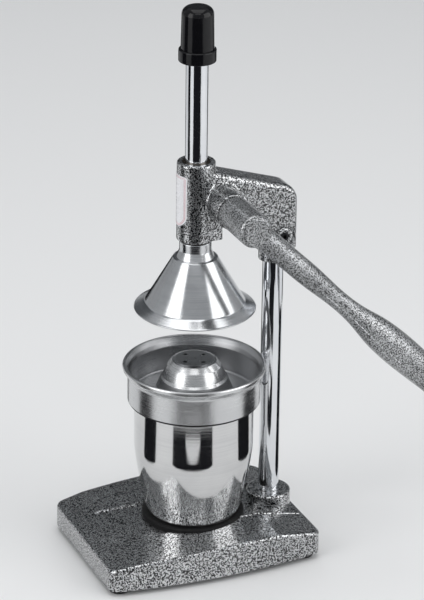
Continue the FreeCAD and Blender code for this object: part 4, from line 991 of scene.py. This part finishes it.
def cast_skin(name, node, paint, voxel, fill_rounds, edge_rounds, crisp, groove, held_by):
    """A softened copy of a cast piece; crisp is a centre and reach (mm) where corners stay tighter."""
    made = voxel_grid(name, node, voxel)
    mesh = made.data
    points, edges = read_grid(mesh)
    free = ~touching(points, held_by, voxel * HELD_WITHIN)
    kept_crisp = np.linalg.norm(points - np.array(crisp[0]) * MM, axis=1) < crisp[1] * MM
    points = soften(mesh, voxel, fill_rounds, edge_rounds, free, kept_crisp)
    if groove:
        ring_groove(points, *groove)
    mesh.vertices.foreach_set("co", points.ravel())
    mesh.polygons.foreach_set("use_smooth", [True] * len(mesh.polygons))
    mesh.materials.clear()
    mesh.materials.append(paint)
    mesh.update()
    print(name, "faces", len(mesh.polygons), "points held", int((~free).sum()))
    return made


print("ready to cast skins")

# %% [markdown]
# ### The head and the lever
#
# Two places stay crisp: the round pad that the column's set screw goes through, which also
# gets a fine ring round it, and the lever's shoulder against the head. The grid has to be
# fine, as a coarse one would show steps on the slanted arm.

# %% Make the cast skins
SCREW_PAD = (13.5, 80.2, 298.6)
LEVER_SHOULDER = (42, 19, 341)
CASTINGS = [
    ("head_skin", "head_casting", "frame", HAMMERTONE_HEAD, 0.00072, 30, 2, (SCREW_PAD, 13),
     (SCREW_PAD, 9.4, 0.85, 2.2),
     ["ram_guide_upper", "ram_guide_lower", "shaft_bush_near", "shaft_bush_far", "column",
      "column_set_screw", "label_plate"]),
    ("lever_skin", "lever_arm", "lever", HAMMERTONE_LEVER, 0.0008, 60, 3, (LEVER_SHOULDER, 5), None,
     ["pinion_shaft", "lever_set_screw"]),
]
skins = {}
for skin_name, node_name, body_name, *choices in CASTINGS:
    skin = cast_skin(skin_name, node_name, *choices)
    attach(skin, body_name)
    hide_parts(node_name)
    skins[skin_name] = skin
print("cast skins:", ", ".join(skins))

# %% [markdown]
# ## The label's border
#
# The label on the sleeve is a printed film with rounded corners. Its printing is left off,
# apart from the plain double line round its edge. Each line is a thin ribbon of ink that
# lies on the film, so it is built as the label's outline drawn twice, a little way in.

# %% Draw the border
LABEL_RADIUS = 17.6
LABEL_HALF_WIDTH = 17.2 * math.sin(math.radians(40.0))
LABEL_LOW, LABEL_HIGH = (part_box("label_plate")[k].z / MM for k in (0, 1))
LABEL_MIDDLE = LABEL_LOW + LABEL_HALF_WIDTH
CORNER_ROUNDING, LEAST_ROUNDING, INK_STEP = 2.5, 0.6, 0.8
INK_LIFT, TOP_MARGIN = 0.04, 6
INK_LINES = ((1.0, 0.45), (2.1, 0.3))


def arc(x, z, radius, start, end, steps):
    """Points on an arc round (x, z), from one part of a half turn to another."""
    return [(x + radius * math.cos(a), z + radius * math.sin(a))
            for a in np.linspace(start * math.pi, end * math.pi, steps)]


def label_outline(inset, steps=10):
    """The label's edge as (x, z) in mm, moved in by inset: square at the top, round below."""
    half, top = LABEL_HALF_WIDTH - inset, LABEL_HIGH - inset
    bend = max(CORNER_ROUNDING - inset, LEAST_ROUNDING)
    line = arc(0, LABEL_MIDDLE, half, 1, 2, 4 * steps)
    line += arc(half - bend, top - bend, bend, 0, 0.5, steps)
    line += arc(bend - half, top - bend, bend, 0.5, 1, steps)
    return close_steps(line + line[:1], INK_STEP)[:-1]


def ink_line(inset, width):
    """A closed ribbon on the film, as wide as width, lifted by a hair."""
    radius = LABEL_RADIUS + INK_LIFT
    outer = label_outline(inset)
    points = []
    for x, z in outer:
        pull = Vector((-x, max(min(z, LABEL_HIGH - TOP_MARGIN), LABEL_MIDDLE) - z)).normalized() * width
        for px, pz in ((x, z), (x + pull.x, z + pull.y)):
            points.append((px * MM, -math.sqrt(radius ** 2 - px ** 2) * MM, pz * MM))
    count = len(outer)
    faces = [(2 * k, 2 * ((k + 1) % count), 2 * ((k + 1) % count) + 1, 2 * k + 1) for k in range(count)]
    return points, faces


ink_points, ink_faces = [], []
for line_inset, line_width in INK_LINES:
    more_points, more_faces = ink_line(line_inset, line_width)
    ink_faces += [tuple(k + len(ink_points) for k in face) for face in more_faces]
    ink_points += more_points
border = mesh_object("label_border", ink_points, ink_faces, LABEL_LINE)
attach(border, "frame")
print("border faces", len(border.data.polygons))

# %% [markdown]
# ## Beads on the castings
#
# The lever is cast in two halves of sand, and a thin bead is left where they met, low on
# the arm's near side. Thick paint leaves beads too, along the edges of the shallow channel
# in the base. A bead follows a surface, so Geometry Nodes make it: the tree drops a straight
# guide line on to the casting with Raycast, and sweeps a small round section along it that
# thins out at both ends.

# %% The bead tree
THIN_END, FULL_FROM = 0.1, 0.12


def bead_tree():
    tree, given, result = new_tree("bead_along_a_surface", [
        ("Casting", "Object"), ("Pull", "Vector"), ("Bead Radius", "Float"), ("Sides", "Int"),
        ("Paint", "Material")])
    line = put(tree, "MeshToCurve", {"Mesh": given["Geometry"]})
    casting = put(tree, "ObjectInfo", {"Object": given["Casting"]}).outputs["Geometry"]
    ray = put(tree, "Raycast", {"Target Geometry": casting, "Ray Direction": given["Pull"],
                                "Ray Length": 0.1}).outputs
    laid = put(tree, "SetPosition", {"Geometry": line, "Selection": ray["Is Hit"],
                                     "Position": ray["Hit Position"]})
    along = put(tree, "SplineParameter").outputs["Factor"]
    section = put(tree, "CurvePrimitiveCircle", {"Resolution": given["Sides"],
                                                 "Radius": given["Bead Radius"]})
    thinning = tree.nodes.new("ShaderNodeFloatCurve")
    points = thinning.mapping.curves[0].points
    points[0].location, points[-1].location = (0.0, THIN_END), (1.0, THIN_END)
    for spot in (FULL_FROM, 1 - FULL_FROM):
        points.new(spot, 1.0)
    thinning.mapping.update()
    tree.links.new(along, thinning.inputs["Value"])
    swept = put(tree, "CurveToMesh", {"Curve": laid, "Profile Curve": section, "Scale": thinning,
                                      "Fill Caps": True})
    smooth = put(tree, "SetShadeSmooth", {"Geometry": swept})
    whole = put(tree, "RealizeInstances", {"Geometry": smooth})
    painted = put(tree, "SetMaterial", {"Geometry": whole, "Material": given["Paint"]})
    tree.links.new(painted.outputs[0], result["Geometry"])
    return tree


BEAD = bead_tree()
print("bead tree has", len(BEAD.nodes), "nodes")

# %% Lay a bead
GUIDE_POINTS = 80
BEAD_SIDES = 12


def bead_piece(name, casting, body, paint, start, end, pull, radius):
    """A bead on a casting, under a straight guide line from start to end (points in mm)."""
    start, end = Vector(start) * MM, Vector(end) * MM
    mesh = bpy.data.meshes.new("guide")
    mesh.from_pydata([tuple(start.lerp(end, t)) for t in np.linspace(0, 1, GUIDE_POINTS)],
                     [(k, k + 1) for k in range(GUIDE_POINTS - 1)], [])
    guide = bpy.data.objects.new("guide", mesh)
    scene.collection.objects.link(guide)
    bead = bake_tree(name, guide, BEAD, {"Casting": casting, "Pull": tuple(pull), "Sides": BEAD_SIDES,
                                         "Bead Radius": radius * MM, "Paint": paint})
    tidy_normals(bead)
    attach(bead, body)
    return bead


print("ready to lay beads")

# %% The lever's parting bead
LEVER_TURN = math.radians(-43.75)
PIVOT = Vector((81.4, 19.0, 341.0))
BEAD_FROM, BEAD_TO, GUIDE_AWAY = 95, 215, 40
BEAD_DROP = math.radians(30)

arm_way = Vector((0, math.cos(LEVER_TURN), math.sin(LEVER_TURN)))
arm_down = Vector((0, math.sin(LEVER_TURN), -math.cos(LEVER_TURN)))
outwards = Vector((math.cos(BEAD_DROP), 0, 0)) + arm_down * math.sin(BEAD_DROP)
bead_piece("lever_parting_bead", skins["lever_skin"], "lever", HAMMERTONE_LEVER,
           PIVOT + arm_way * BEAD_FROM + outwards * GUIDE_AWAY,
           PIVOT + arm_way * BEAD_TO + outwards * GUIDE_AWAY, -outwards, 1.1)

# %% The base channel's beads
GUIDE_HEIGHT = 60
CHANNEL_BEADS = [("channel_bead_near", 33.6, 24, 93, 0.9), ("channel_bead_far", -32.0, -84, -30, 1.3)]
for bead_name, side, bead_start, bead_end, bead_radius in CHANNEL_BEADS:
    ends = [(side, y, GUIDE_HEIGHT) for y in (bead_start, bead_end)]
    bead_piece(bead_name, frame["nodes"]["base_casting"], "frame", HAMMERTONE, *ends, Vector((0, 0, -1)),
               bead_radius)

# %% [markdown]
# ## Measure
#
# The dressed press must not be larger than the frame it is built on. The frame's box, taken
# before any piece was added, is kept beside the box of all that shows now.

# %% Measure the boxes
visual_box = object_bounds()
for title, box in (("frame", cad_box), ("dressed", visual_box)):
    print(title, "box", [round(v, 4) for corner in box for v in corner])
